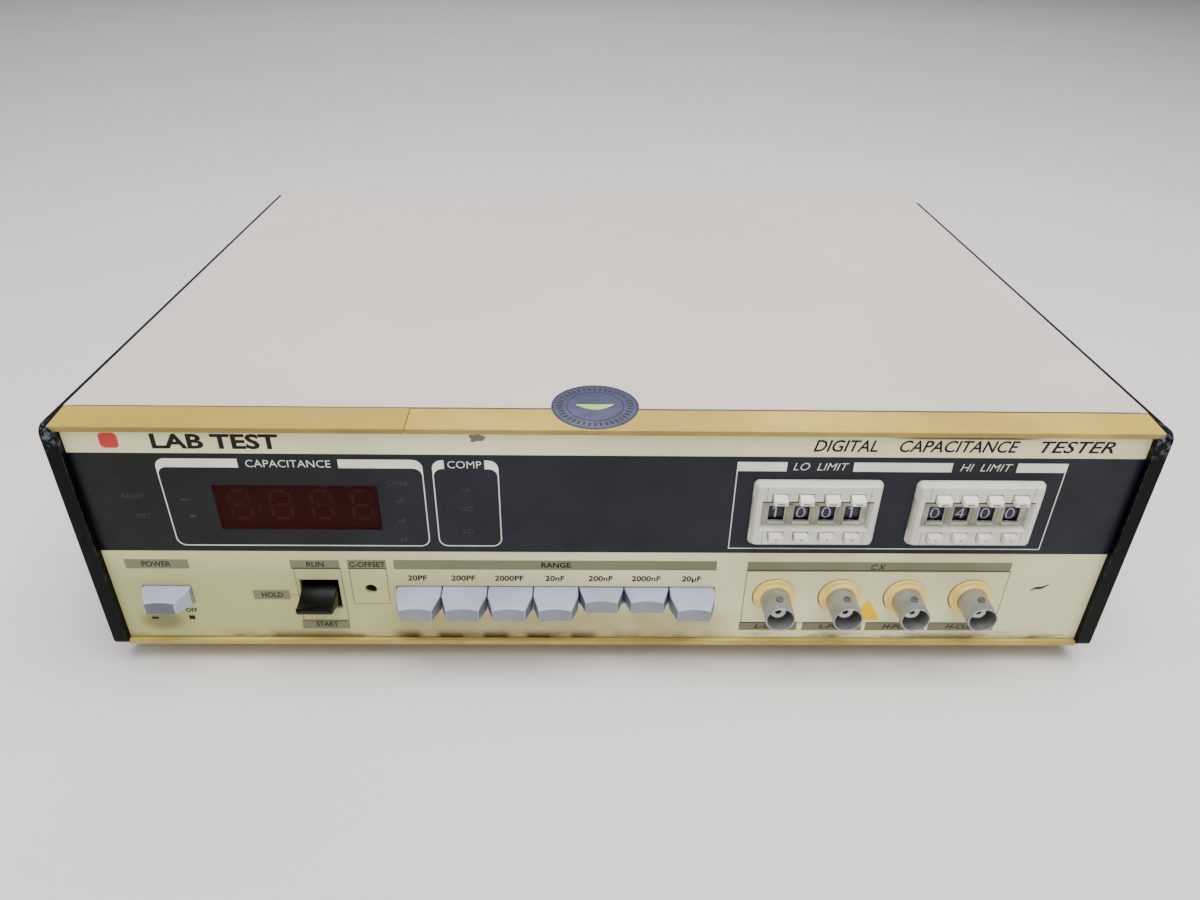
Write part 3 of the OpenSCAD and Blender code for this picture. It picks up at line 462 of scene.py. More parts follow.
def faciaFinish(look):
    # Cream enamel with a dark band, yellowed towards the lower left, with soiling and painted shade along the
    # lower edge.
    material, tree, shader, place = startMaterial("facia_enamel")
    across, up = heightAbove(tree, place)
    tone = mottled(tree, place, look["cream"], look["aged"], 9.0, 0.35, 0.06)
    aged = times(tree, rangeNode(tree, across, 60.0, -120.0), rangeNode(tree, up, 60.0, 20.0), 0.85)
    tone = mixColour(tree, aged, tone, rgb(*look["aged"]))
    # below the keys: a soft-edged area, darker and yellower, broken by noise
    sides = windowNode(tree, across, *look["keysAcross"])
    belowKeysMask = times(tree, sides, rangeNode(tree, up, 17.0, 8.0))
    blotch = rangeNode(tree, noiseNode(tree, place, 60.0, 4.0), 0.2, 0.75, 0.5, 1.0)
    tone = mixColour(tree, times(tree, belowKeysMask, blotch, 0.85), tone, rgb(*look["belowKeysTone"]))
    # soiling and painted shade along the lower edge: a wave with the pitch of the keys, partly soiling and
    # partly painted shadow below them, broken by noise, and patches of soiling elsewhere
    turns = times(tree, plus(tree, across, look["keyShift"]), 2 * math.pi / look["keyPitch"])
    left = times(tree, sides, rangeNode(tree, across, 8.0, -16.0, 0.45, 1.0))
    broken = noiseNode(tree, vectorNode(tree, "MULTIPLY", place, (1.0, 1.0, 2.6)), 38.0, 5.0, 0.6)
    beat = rangeNode(tree, mathNode(tree, "SINE", turns), -1.25, 0.35)
    keyShadowsAndSoiling = times(tree, beat, left, rangeNode(tree, broken, 0.25, 0.45))
    patches = times(tree, rangeNode(tree, broken, 0.44, 0.62), 0.85)
    soilingAndShadows = mathNode(tree, "MAXIMUM", patches, keyShadowsAndSoiling)
    edge = rangeNode(tree, plus(tree, up, times(tree, broken, 2.4)), 6.2, 1.8)
    # a painted shadow line along the foot of the facia, at the seam with the lower trim
    seam = rangeNode(tree, up, 1.1, 0.1, 0.0, 0.6)
    grimeAndShade = mathNode(tree, "MAXIMUM", times(tree, soilingAndShadows, edge, 0.95), seam)
    tone = mixColour(tree, grimeAndShade, tone, rgb(*look["grimeAndShade"]))
    # a painted shadow under the power key, and a painted shadow line under the trim lip, to the right
    powerShadowPlace = (float(middle("power_key")[0]) + look["powerShadowShift"][0], look["powerShadowShift"][1])
    powerShadowMask = rangeNode(tree, ovalNode(tree, across, up, powerShadowPlace, look["powerShadowSize"]), 1.1, 0.1, 0.0, 0.6)
    tone = mixColour(tree, powerShadowMask, tone, rgb(*look["powerShadow"]))
    # painted shadow line just below the trim lip
    ends = windowNode(tree, across, *look["lipShadowAcross"])
    lipShadow = times(tree, ends, rangeNode(tree, up, 80.2, 80.7, 0.0, 0.9))
    tone = mixColour(tree, lipShadow, tone, rgb(*look["lipShadow"]))
    # the dark band, scuffed, and darkest at its left end, where painted shade darkens it
    above = mathNode(tree, "GREATER_THAN", up, look["bandFrom"])
    inBand = times(tree, above, mathNode(tree, "LESS_THAN", up, look["bandTo"]))
    dark = mottled(tree, place, look["band"], look["bandShade"], 30.0, 0.6, 0.25)
    dark = mixColour(tree, rangeNode(tree, across, -60.0, -140.0), dark, rgb(*look["bandLeftShade"]))
    scuffs = placeGroup(tree, fineScuffs, Vector=place, Stretch=(260.0, 200.0, 2400.0), Turn=0.5)["Mask"]
    dark = mixColour(tree, times(tree, scuffs, 0.12), dark, rgb(*look["bandScuff"]))
    tone = mixColour(tree, inBand, tone, dark)
    # a chip in the upper strip: a wavy-edged oval
    drift = times(tree, minus(tree, noiseNode(tree, place, 700.0, 3.0), 0.5), 3.4)
    reach = ovalNode(tree, across, up, look["chipPlace"], look["chipSize"])
    chip = mathNode(tree, "LESS_THAN", plus(tree, reach, drift), 0.8)
    tone = mixColour(tree, chip, tone, rgb(*look["chip"]))
    dress(tree, shader, place, tone, 1800.0, (0.34, 0.48), 0.000012, 0.5, times(tree, chip, 3.0),
          Specular_IOR_Level=0.25)
    return material


def segmentFinish(faceFront):
    # The display: pale red bars where the surface stands foremost, dark epoxy behind them.
    material, tree, shader, place = startMaterial("display_epoxy")
    depth = addNode(tree, "SeparateXYZ", {0: place}).outputs["Y"]
    foremost = mathNode(tree, "LESS_THAN", depth, float(faceFront + 0.00006))
    epoxy = mottled(tree, place, (64, 30, 26), (40, 20, 18), 200.0, 0.5, 0.0)
    bars = mottled(tree, place, (255, 190, 175), (225, 150, 135), 160.0, 0.8, 0.0)
    dress(tree, shader, place, mixColour(tree, foremost, epoxy, bars), 3000.0, (0.4, 0.6))
    return material


coverPaint = finish("cover_paint", (211, 200, 193), (199, 187, 177), scale=7, amount=0.55, specks=0.25,
                    rough=(0.46, 0.6), grain=1700, relief=0.00003, wear=0.5, wearColour=(168, 160, 150))
# the two lip colours are painted shade along each trim's front lip
trimLook = {"left": (178, 152, 58), "right": (202, 174, 74), "lower": (216, 196, 98), "shade": (164, 136, 48),
            "lipShade": (104, 84, 48), "lowerLipShade": (150, 120, 60), "rubbed": (150, 122, 74)}


def trimFinish(side, node, lipShade, look):
    # Yellowed extrusion, with painted shade along its front lip.
    material, tree, shader, place = startMaterial("trim_yellowed_" + side)
    front = float(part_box(node)[0][1])
    tone = mottled(tree, place, look[side], look["shade"], 16.0, 0.7, 0.3)
    depth = addNode(tree, "SeparateXYZ", {0: place}).outputs["Y"]
    # painted shade along the front lip, broken by noise
    lip = rangeNode(tree, depth, front + 0.4 * mm, front, 0.0, 0.5)
    lipShading = times(tree, lip, rangeNode(tree, noiseNode(tree, place, 90.0, 4.0), 0.3, 0.6, 0.5, 1.0))
    tone = mixColour(tree, lipShading, tone, rgb(*look[lipShade]))
    tone = mixColour(tree, wornEdges(tree, place, 0.0005, 0.5), tone, rgb(*look["rubbed"]))
    dress(tree, shader, place, tone, 2600.0, (0.38, 0.52), 0.00001)
    return material


trimLeft = trimFinish("left", "top_trim_left", "lipShade", trimLook)
trimRight = trimFinish("right", "top_trim_right", "lipShade", trimLook)
trimLower = trimFinish("lower", "bottom_trim", "lowerLipShade", trimLook)
frameLook = {"black": (3, 5, 9), "shade": (2, 3, 6), "scuffed": (120, 126, 138), "reach": 0.011}


def frameFinish(look):
    # Black paint, rubbed along its edges and scuffed round the upper front corner of each frame.
    material, tree, shader, place = startMaterial("frame_black")
    low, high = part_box("right_side_frame")
    tone = mottled(tree, place, look["black"], look["shade"], 40.0, 0.6, 0.2)
    parts = addNode(tree, "SeparateXYZ", {0: place}).outputs
    behind, below = minus(tree, parts["Y"], float(low[1])), minus(tree, parts["Z"], float(high[2]))
    away = mathNode(tree, "SQRT", plus(tree, times(tree, behind, behind), times(tree, below, below)))
    flakes = rangeNode(tree, noiseNode(tree, place, 420.0, 5.0, 0.7), 0.52, 0.6)
    chips = times(tree, rangeNode(tree, away, look["reach"], 0.001), flakes, 0.7)
    mask = mathNode(tree, "MAXIMUM", chips, wornEdges(tree, place, 0.0006, 0.45))
    tone = mixColour(tree, mask, tone, rgb(*look["scuffed"]))
    dress(tree, shader, place, tone, 2400.0, (0.42, 0.56), 0.00003, Specular_IOR_Level=0.1)
    return material


frameBlack = frameFinish(frameLook)
faciaEnamel = faciaFinish(faciaLook)
bareAluminium = finish("bare_aluminium", (176, 177, 176), (150, 151, 150), scale=30, amount=0.4,
                       rough=(0.35, 0.5), grain=3000, relief=0.00001, Metallic=1.0)
rearAluminium = finish("rear_aluminium", (172, 172, 168), (160, 159, 154), scale=60, amount=0.4, specks=0.2,
                       rough=(0.42, 0.58), grain=2600, relief=0.00002, wear=0.3, wearColour=(200, 200, 196),
                       Metallic=0.85)
filterRed = finish("filter_red", (48, 2, 0), (40, 2, 0), scale=60, amount=0.5, specks=0.0,
                   rough=(0.14, 0.2), grain=300, relief=0.000001, Alpha=0.7, Specular_IOR_Level=0.1)
boardGreen = finish("board_green", (44, 96, 62), (30, 74, 48), scale=90, rough=(0.3, 0.45))
componentGrey = finish("component_grey", (58, 60, 62), (40, 41, 43), scale=120, rough=(0.4, 0.6))
coreVarnish = finish("core_varnish", (96, 92, 86), (70, 64, 54), scale=60, rough=(0.4, 0.6))
nickelPlate = finish("nickel_plate", (172, 173, 176), (144, 143, 140), scale=160, amount=0.7, specks=0.3,
                     rough=(0.36, 0.5), grain=2200, relief=0.00001, wear=0.5, wearColour=(214, 213, 210),
                     Metallic=0.75)
# painted shade and highlight: the lugs take a darker copy of the nickel, with their edges painted brighter
lugShadedNickel = finish("lug_shaded_nickel", (128, 128, 126), (96, 94, 90), scale=300, amount=0.7, rough=(0.35, 0.5),
                 wear=0.8, wearColour=(206, 206, 204), wearWidth=0.0003, Metallic=0.8)
contactDull = finish("contact_dull", (96, 92, 84), (58, 54, 48), scale=300, rough=(0.35, 0.5), Metallic=0.8)
bushingNylon = finish("bushing_nylon", (250, 222, 130), (236, 202, 100), scale=120, amount=0.8, specks=0.4,
                      rough=(0.35, 0.5))
insertResin = finish("insert_resin", (255, 254, 248), (240, 236, 222), scale=200)
bezelMoulding = finish("bezel_moulding", (226, 226, 216), (202, 200, 184), scale=45, amount=0.7, specks=0.3,
                       rough=(0.36, 0.5), grain=3200, wear=0.4, wearColour=(150, 146, 132), wearWidth=0.0004)


def soilDeep(material, near, far, colour):
    # painted shade in the recesses of the bezels: the colour comes in between one depth and the other, in
    # metres along y
    tree = material.node_tree
    shader = tree.nodes["Principled BSDF"]
    tone = shader.inputs["Base Color"].links[0].from_socket
    place = addNode(tree, "TexCoord").outputs["Object"]
    parts = addNode(tree, "SeparateXYZ", {0: place}).outputs
    low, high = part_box("low_limit_housing")
    away = mathNode(tree, "ABSOLUTE", minus(tree, parts["Z"], float(low[2] + high[2]) / 2))
    mask = times(tree, rangeNode(tree, parts["Y"], near, far), rangeNode(tree, away, 0.0066, 0.0056))
    mask = times(tree, mask, rangeNode(tree, noiseNode(tree, place, 240.0, 4.0), 0.3, 0.65, 0.55, 1.0))
    tree.links.new(mixColour(tree, mask, tone, rgb(*colour)), shader.inputs["Base Color"])


bezelFront = float(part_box("low_limit_housing")[0][1])
soilDeep(bezelMoulding, bezelFront + 0.0006, bezelFront + 0.0021, (150, 147, 128))
drumBlack = finish("drum_black", (34, 33, 52), (24, 24, 40), scale=150)
figurePale = finish("figure_pale", (186, 180, 222), (160, 154, 198), scale=300, rough=(0.45, 0.55))
buttonIvory = finish("button_ivory", (244, 241, 226), (224, 219, 200), scale=160, amount=0.8, specks=0.3,
                     rough=(0.35, 0.5), wear=0.6, wearColour=(150, 140, 114), wearWidth=0.0003)
keyGrey = finish("key_grey", (172, 178, 202), (156, 161, 182), scale=55, amount=0.7, specks=0.35,
                 grain=3000, wear=0.35, wearColour=(140, 143, 152), wearWidth=0.0005)
leverBlack = finish("lever_black", (5, 5, 8), (3, 3, 5), scale=90, rough=(0.2, 0.34), relief=0.000005,
                    wear=0.5, wearColour=(52, 54, 60), Specular_IOR_Level=0.18)
screwBrass = finish("screw_brass", (190, 158, 92), (150, 118, 62), scale=300, rough=(0.3, 0.45), Metallic=1.0)
footRubber = finish("foot_rubber", (36, 36, 37), (24, 24, 25), scale=80, rough=(0.6, 0.8), relief=0.00004)
inletBlack = finish("inlet_black", (30, 30, 31), (20, 20, 22), scale=80, rough=(0.35, 0.5), relief=0.00003)
socketPlate = finish("socket_plate", (186, 186, 182), (158, 157, 150), scale=120, rough=(0.3, 0.45),
                     Metallic=1.0)
switchMoulding = finish("switch_moulding", (52, 60, 58), (36, 42, 41), scale=90, rough=(0.4, 0.6))
legendPale = finish("legend_pale", (240, 241, 230), (224, 224, 208), scale=60, amount=0.7, rough=(0.4, 0.5))
legendDark = finish("legend_dark", (13, 12, 11), (24, 22, 20), scale=60, amount=0.7, rough=(0.4, 0.5),
                    Specular_IOR_Level=0.2)
legendSoft = finish("legend_soft", (38, 37, 29), (50, 48, 38), scale=60, amount=0.7, rough=(0.4, 0.5),
                    Specular_IOR_Level=0.2)
legendFaint = finish("legend_faint", (28, 31, 37), (24, 27, 32), scale=60, amount=0.7, rough=(0.35, 0.5))
labelOlive = finish("label_olive", (123, 122, 91), (110, 109, 78), scale=22, amount=0.7, rough=(0.38, 0.5))
sealBlue = finish("seal_blue", (61, 67, 101), (50, 55, 84), scale=240, amount=0.8, specks=0.5,
                  rough=(0.2, 0.34), Metallic=0.25)
sealLime = finish("seal_lime", (178, 200, 92), (160, 182, 84), scale=120, rough=(0.3, 0.4))
badgeRed = finish("badge_red", (205, 34, 16), (184, 28, 14), scale=120, rough=(0.35, 0.45))
stickerYellow = finish("sticker_yellow", (255, 204, 0), (246, 190, 0), scale=120, rough=(0.45, 0.55),
                       Specular_IOR_Level=0.05)
# a dark brown for the painted shadow strips in crevices and seams, and for the marks on the buttons
shadowAndMarkBrown = finish("shadow_and_mark_brown", (44, 38, 30), (28, 24, 18), scale=90, rough=(0.6, 0.8))
# the brown of the painted shadow rings round the collars
collarShadowBrown = finish("collar_shadow_brown", (112, 80, 34), (88, 62, 26), scale=200, amount=0.8, rough=(0.5, 0.7))
wallGrey = finish("wall_grey", (156, 153, 136), (126, 122, 104), scale=120, amount=0.8, specks=0.4)
pencilGrey = finish("pencil_grey", (132, 118, 82), (160, 142, 96), scale=900, amount=1.0, rough=(0.5, 0.6))
inkBlack = finish("ink_black", (20, 19, 18), (32, 30, 28), scale=200, rough=(0.4, 0.5))
print("finishes made")

slots = {
    "top_cover": coverPaint, "bottom_cover": coverPaint,
    "top_trim_left": trimLeft, "top_trim_right": trimRight, "bottom_trim": trimLower,
    "left_side_frame": frameBlack, "right_side_frame": frameBlack,
    "front_panel": bareAluminium, "front_facia": faciaEnamel, "display_filter": filterRed,
    "rear_panel": rearAluminium, "main_board": boardGreen, "board_components": componentGrey,
    "power_transformer": coreVarnish, "bnc_bodies": nickelPlate, "bnc_bushings": bushingNylon,
    "bnc_inserts": insertResin, "low_limit_housing": bezelMoulding, "high_limit_housing": bezelMoulding,
    "range_switch_bank": switchMoulding, "power_switch": switchMoulding, "lever_switch": switchMoulding,
    "rubber_feet": footRubber, "mains_inlet": inletBlack, "interface_socket": socketPlate,
    "power_key": keyGrey, "run_lever": leverBlack, "offset_screw": screwBrass,
    "display_module": segmentFinish(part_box("display_module")[0][1] + 0.0008)}
numberedSlots = {"range_key": keyGrey, "low_wheel": drumBlack, "high_wheel": drumBlack}
for node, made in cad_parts.items():
    material = slots.get(node) or numberedSlots.get(node.rstrip("0123456789_"), buttonIvory)
    made.data.materials.clear()
    made.data.materials.append(material)


# how far each edge of the housing is eased, in millimetres
easing = {"top_cover": 0.35, "top_trim_left": 0.3, "top_trim_right": 0.3, "bottom_trim": 0.3,
          "left_side_frame": 0.8, "right_side_frame": 0.8}
for node, width in easing.items():
    easedCopy(node, width, slots[node])
print("housing edges eased")


# the caps of the range keys and the power key
keyShape = {"root": 6.99, "corner": 0.5, "dish": 1.0, "dishFoot": 0.3, "plungerWide": 5.0, "plungerHigh": 4.0,
            "tipHigh": 4.7, "rim": 0.35}
pressedIn = {"range_key_5": 4.0, "range_key_6": 4.0}


def splitSides(outline, pieces):
    # A rounded rectangle of four even arcs, with each straight side split into equal pieces.
    arcs = outline.reshape(4, -1, 2)
    ends, starts = arcs[:, -1:], np.roll(arcs[:, :1], -1, axis=0)
    share = np.arange(1, pieces)[None, :, None] / pieces
    return np.concatenate([arcs, ends + share * (starts - ends)], axis=1).reshape(-1, 2)


def keyShell(node, shoulder, slope, inset, values):
    # Rounded rectangles strung along y, from the plunger's end to the front, which is dished across:
    # y = face + share * (tip + dish * (1 - u^2) - face), u running from -1 to 1 across the ring,
    # where the dish eases off from the top of the face to its foot.
    low, high = span(node)
    x, z = (low[0] + high[0]) / 2, (low[2] + high[2]) / 2
    wide, tall, tip = high[0] - low[0], high[2] - low[2], low[1]
    root, face, corner = values["root"] + pressedIn.get(node, 0.0), tip + shoulder, values["corner"]

    def dishAt(level):
        rise = np.clip((level - z) / values["tipHigh"] + 0.5, 0, 1)
        return values["dishFoot"] + (values["dish"] - values["dishFoot"]) * rise

    def ring(width, height, y):
        outline = roundedOutline(x - width / 2, x + width / 2, z - height / 2, z + height / 2, corner, 5)
        return standing(splitSides(outline, 10), y)

    rings = [ring(values["plungerWide"], values["plungerHigh"], high[1]),
             ring(values["plungerWide"], values["plungerHigh"], root), ring(wide, tall, root)]
    for share in (0.0, 0.2, 0.4, 0.6, 0.8, 0.97, 1.0):
        rim = values["rim"] if share == 1 else 0
        width = wide - 2 * inset * share - rim
        ahead = face + share * (tip - face)
        height = tall + (values["tipHigh"] - tall) * np.clip((tip + slope - ahead) / slope, 0, 1) - rim
        made = ring(width, height, face)
        across = (made[:, 0] - x) / (width / 2)
        made[:, 1] = face + share * (tip + dishAt(made[:, 2]) * (1 - across ** 2) - face)
        rings.append(made)
    edge = rings[-1]
    for scale in (0.75, 0.5, 0.25, 0.04):
        made = (edge - (x, 0, z)) * (scale, 1, scale) + (x, 0, z)
        across = (made[:, 0] - x) / (wide / 2 - inset - values["rim"] / 2)
        made[:, 1] = tip + dishAt(made[:, 2]) * (1 - across ** 2)
        rings.append(made)
    return tube(np.array(rings))


# painted shade: darker copies of the key grey for the fronts and flanks of the keys
keyFaceShaded = finish("key_face", (136, 139, 149), (122, 125, 134), scale=90, amount=0.6, specks=0.4,
                 rough=(0.5, 0.62), grain=3600, relief=0.00003)
keySideShaded = finish("key_side", (112, 116, 132), (90, 94, 108), scale=90, amount=0.6, specks=0.4,
                 rough=(0.5, 0.62), grain=3600, relief=0.00003)
powerFaceShaded = finish("power_face_shaded", (100, 102, 110), (88, 90, 97), scale=90, amount=0.6, specks=0.4,
                   rough=(0.5, 0.62), grain=3600, relief=0.00003)


def tintFaces(piece, ahead, sideways):
    # the faces that look straight out of the facia take a second finish, and the flanks a third: darker
    # copies of the key grey, as painted shade
    mesh = piece.data
    mesh.materials.append(ahead)
    mesh.materials.append(sideways)
    normals = np.array([face.normal for face in mesh.polygons])
    kinds = np.where(normals[:, 1] < -0.85, 1, np.where(np.abs(normals[:, 0]) > 0.93, 2, 0))
    mesh.polygons.foreach_set("material_index", kinds.astype(np.int32))


for number in range(1, 8):
    node = f"range_key_{number}"
    shells = [keyShell(node, 6.5, 10.5, 2.1, keyShape)]
    tintFaces(addPiece(node + "_cap", shells, keyGrey, node, 40, (node,)), keyFaceShaded, keySideShaded)
shells = [keyShell("power_key", 5.8, 7.8, 2.9, dict(keyShape, dish=0.6))]
powerCap = addPiece("power_key_cap", shells, keyGrey, "power_key", 40, ("power_key",))
tintFaces(powerCap, powerFaceShaded, keyFaceShaded)
print("keys made")


# the start lever
leverShape = {"edge": 0.45, "hub": 4.2, "pivotY": 8.0, "tailHalf": 2.0, "tailHigh": 1.2, "tailEnd": 11.8}


def leverShell(values):
    # A side outline of arcs and a drawn-in waist, carried along x, and drawn in by r(1 - cos) near each end.
    low, high = span("run_lever")
    x, _, z = middle("run_lever")
    tip, pivot, hub = low[1] + 0.3, values["pivotY"], values["hub"]
    upper = [(pivot, hub), (4.4, 4.15), (1.2, 3.9), (-0.6, 3.6), (-1.9, 3.05), (-3.2, 2.4), (-4.8, 1.85),
             (-6.6, 1.5), (-8.0, 1.45), (tip + 0.1, 1.68), (tip - 0.12, 1.5), (tip - 0.3, 1.0),
             (tip - 0.28, 0.1), (tip, -0.6), (tip + 0.5, -0.85)]
    lower = [(-6.0, -1.6), (-4.0, -2.2), (-1.5, -2.95), (1.0, -3.6), (4.4, -4.1), (pivot, -hub)]
    turns = np.linspace(0.2, math.pi - 0.2, 11)
    back = [(pivot + hub * math.sin(angle), -hub * math.cos(angle)) for angle in turns]
    outline = np.array(upper + lower + back)
    ahead, behind = np.roll(outline, -1, 0), np.roll(outline, 1, 0)
    along = ahead - behind
    inward = np.stack([along[:, 1], -along[:, 0]], -1) / np.linalg.norm(along, axis=1)[:, None]
    inward *= np.sign(((outline.mean(0) - outline) * inward).sum(1))[:, None]
    turn = np.linspace(0, math.pi / 2, 5)
    drawnIn = values["edge"] * (1 - np.sin(turn))
    steps = values["edge"] * (1 - np.cos(turn))
    places = np.concatenate([low[0] + steps, (high[0] - steps)[::-1]])
    drawn = np.concatenate([drawnIn, drawnIn[::-1]])
    rings = outline + inward * drawn[:, None, None]
    solid = np.concatenate([np.broadcast_to(places[:, None, None], rings.shape[:2] + (1,)), rings], -1)
    solid[..., 2] += z
    half, tall = values["tailHalf"], values["tailHigh"]
    tail = bar(x - half, x + half, z - tall, z + tall, high[1], values["tailEnd"])
    return [tube(solid), tail]


addPiece("run_lever_paddle", leverShell(leverShape), leverBlack, "run_lever", 40,
         ("run_lever",))
print("lever made")


# the four coaxial sockets; back and floor are measured from the facia's face
socketShape = {"outer": 4.8, "bore": 4.3, "lip": 0.14, "lugRadius": 1.2, "lugRise": 0.7, "lugBack": 4.5,
               "floor": -3.0, "nut": 7.6, "nutEnds": (-7.1, -4.5)}
socketLow, socketHigh = span("bnc_bodies")
bushingLow, bushingHigh = span("bnc_bushings")
insertLow = span("bnc_inserts")[0]
rowZ = middle("bnc_bushings")[2]
flange = (bushingHigh[2] - bushingLow[2]) / 2
socketX = np.linspace(bushingLow[0] + flange, bushingHigh[0] - flange, 4)


def socketShells(x, values):
    # The barrel's profile turned about y: up the outside, over a round lip, and down the bore to its floor.
    mouth, back = -socketLow[1], -socketHigh[1]
    outer, bore, lip = values["outer"], values["bore"], values["lip"]
    profile = [(back, outer - 0.4), (back + 0.3, outer), (mouth - 2.0, outer), (mouth - lip, outer),
               (mouth - 0.05, outer - 0.1), (mouth, outer - lip), (mouth, bore + lip),
               (mouth - 0.05, bore + 0.1), (mouth - lip, bore), (mouth - 2.0, bore),
               (-values["floor"], bore), (-values["floor"], bore * 0.5)]
    nut = [(back, values["nut"]) for back in values["nutEnds"]]
    return [turned(profile, (x, 0, rowZ), steps=56), turned(nut, (x, 0, rowZ), steps=6)]


def lugShells(x, values):
    # two studs turned about z, with dished ends
    crown, radius = values["outer"] + values["lugRise"], values["lugRadius"]
    rise = [(values["bore"], radius), (crown - 0.2, radius), (crown - 0.04, radius - 0.12),
            (crown, radius - 0.3), (crown - 0.02, radius - 0.5), (crown - 0.3, radius - 0.62),
            (crown - 0.34, 0.1)]
    centre = (x, socketLow[1] + values["lugBack"], rowZ)
    return [turned(rise, centre, (0, 0, side), 20) for side in (-1, 1)]


def insulatorShell(x):
    # The white insulator with its bored nose, turned about y.
    face = -insertLow[1]
    collar = [(3.0, 2.6), (face - 0.25, 2.6), (face, 2.4), (face, 1.2), (face - 0.2, 1.05), (3.2, 1.05)]
    return turned(collar, (x, 0, rowZ), steps=36)


def fingerShells(x):
    # Four sprung fingers: quarter tubes, with the angle kept inside each quarter by a narrow slot.
    outer, inner, slit = 0.98, 0.6, 0.22
    shells = []
    for quarter in range(4):
        angle = np.linspace(slit, math.pi / 2 - slit, 7) + quarter * math.pi / 2
        spokes = np.stack([np.cos(angle), np.sin(angle)], -1)
        loop = np.concatenate([outer * spokes, inner * spokes[::-1]]) + (x, rowZ)
        shells.append(plate(loop, insertLow[1] + 0.1, -3.1))
    return shells


def bushingShells(x):
    # A stepped collar with a rounded shoulder, turned about y.
    nose, back = -bushingLow[1], -bushingHigh[1]
    profile = [(back, flange - 0.1), (back + 0.9, flange), (back + 1.0, flange - 1.4), (-0.02, flange - 1.3),
               (0.0, flange - 0.1), (0.1, flange), (0.95, flange), (1.15, flange - 0.12),
               (1.2, flange - 0.35), (1.2, flange - 0.95), (1.3, flange - 1.1), (nose - 0.25, flange - 1.15),
               (nose - 0.05, flange - 1.3), (nose, flange - 1.5), (nose, 4.95), (nose - 0.1, 4.82),
               (back, 4.82)]
    return turned(profile, (x, 0, rowZ), steps=56, closedRows=True)


def collarGrime(x, radius):
    # a painted shadow ring on the facia round a collar, set off towards the lower left
    angle = np.linspace(0, 2 * math.pi, 57)[:-1]
    spokes = np.stack([np.cos(angle), np.sin(angle)], -1)
    outer = spokes * (radius + 0.22) + (x - 0.12, rowZ - 0.08)
    return hoop(outer, spokes * (radius - 0.6) + (x, rowZ), -0.02)


addPiece("coaxial_barrels", [shell for x in socketX for shell in socketShells(x, socketShape)], nickelPlate,
         replaced=("bnc_bodies",))
addPiece("bayonet_lugs", [shell for x in socketX for shell in lugShells(x, socketShape)], lugShadedNickel,
         replaced=("bnc_bodies",))
addPiece("insulating_collars", [bushingShells(x) for x in socketX], bushingNylon,
         replaced=("bnc_bushings",))
addPiece("collar_shadow_ring", [collarGrime(x, flange) for x in socketX], collarShadowBrown)
addPiece("socket_insulators", [insulatorShell(x) for x in socketX], insertResin,
         replaced=("bnc_inserts",))
fingers = [shell for x in socketX for shell in fingerShells(x)]
addPiece("socket_contacts", fingers, contactDull)
print("coaxial sockets made")


# the figures on the limit wheels, with those that show at rest
figures = {"low": "1001", "high": "0400", "height": 4.5, "width": 2.85, "proud": 0.04}


def flatFigure(figure, values):
    # a figure cut across at even heights, so that it can bend
    tall = values["height"]
    points, faces = lettering(str(figure), 0, -tall / 2, tall, values["proud"], bold=-0.1,
                              width=values["width"] * (0.2 if figure == 1 else 1))
    points[:, 0] -= (points[:, 0].max() + points[:, 0].min()) / 2
    if figure == 1:  # the stem alone needs its flag
        flag = np.array([(-1.0, tall * 0.24), (-0.24, tall * 0.38), (-0.24, tall * 0.5), (-1.0, tall * 0.34)])
        flagPoints, flagFaces = plate(flag, -values["proud"], 0.0)
        faces = list(faces) + [[corner + len(points) for corner in face] for face in flagFaces]
        points = np.concatenate([points, flagPoints])
    mesh = bpy.data.meshes.new("figure")
    mesh.from_pydata(points, [], faces)
    work = bmesh.new()
    work.from_mesh(mesh)
    for level in np.linspace(-0.5, 0.5, 9)[1:-1] * values["height"]:
        everything = work.verts[:] + work.edges[:] + work.faces[:]
        bmesh.ops.bisect_plane(work, geom=everything, plane_co=(0, 0, level), plane_no=(0, 0, 1))
    work.verts.index_update()
    points = np.array([vertex.co for vertex in work.verts])
    faces = [[vertex.index for vertex in face.verts] for face in work.faces]
    work.free()
    bpy.data.meshes.remove(mesh)
    return points, faces


flatFigures = [flatFigure(figure, figures) for figure in range(10)]


def figureShells(node, shown):
    # Ten figures bent round the drum: the angle is the height on the flat figure over the radius,
    # plus a tenth of a turn for each figure past the one that shows.
    low, high = span(node)
    x, y, z = (low + high) / 2
    radius = (high[2] - low[2]) / 2
    shells = []
    for figure in range(10):
        points, faces = flatFigures[figure]
        angle = points[:, 2] / radius + (figure - shown) * math.pi / 5
        reach = radius - points[:, 1]
        bent = np.stack([x + points[:, 0], y - reach * np.cos(angle), z + reach * np.sin(angle)], -1)
        shells.append((bent, faces))
    return shells


for bank in ("low", "high"):
    for number, shown in enumerate(figures[bank], 1):
        node = f"{bank}_wheel_{number}"
        addPiece(node + "_figures", figureShells(node, int(shown)), figurePale, node)
print("limit figures made")


# details on the faces of the limit switches
bezelDetail = {"floorY": -0.6, "sillWide": 5.4, "sillOut": 0.55, "sillDrop": 3.15, "recessWide": 34.6,
               "recessGap": (5.2, 5.66), "seam": 0.12, "seamX": 16, "seamEnds": ((-10.8, -5.7), (5.7, 10.8))}


def sillShell(x, z, values):
    # The lip under a window, an (y, z) outline carried along x: up from the floor and sloping out and down.
    floorY, out = values["floorY"], values["floorY"] - values["sillOut"]
    outline = [(floorY + 0.05, z), (floorY - 0.1, z), (out, z - 0.55), (out, z - 1.0),
               (floorY + 0.05, z - 1.35)]
    half = values["sillWide"] / 2
    return tube([[(x + side * half, y, height) for y, height in outline] for side in (-1, 1)])


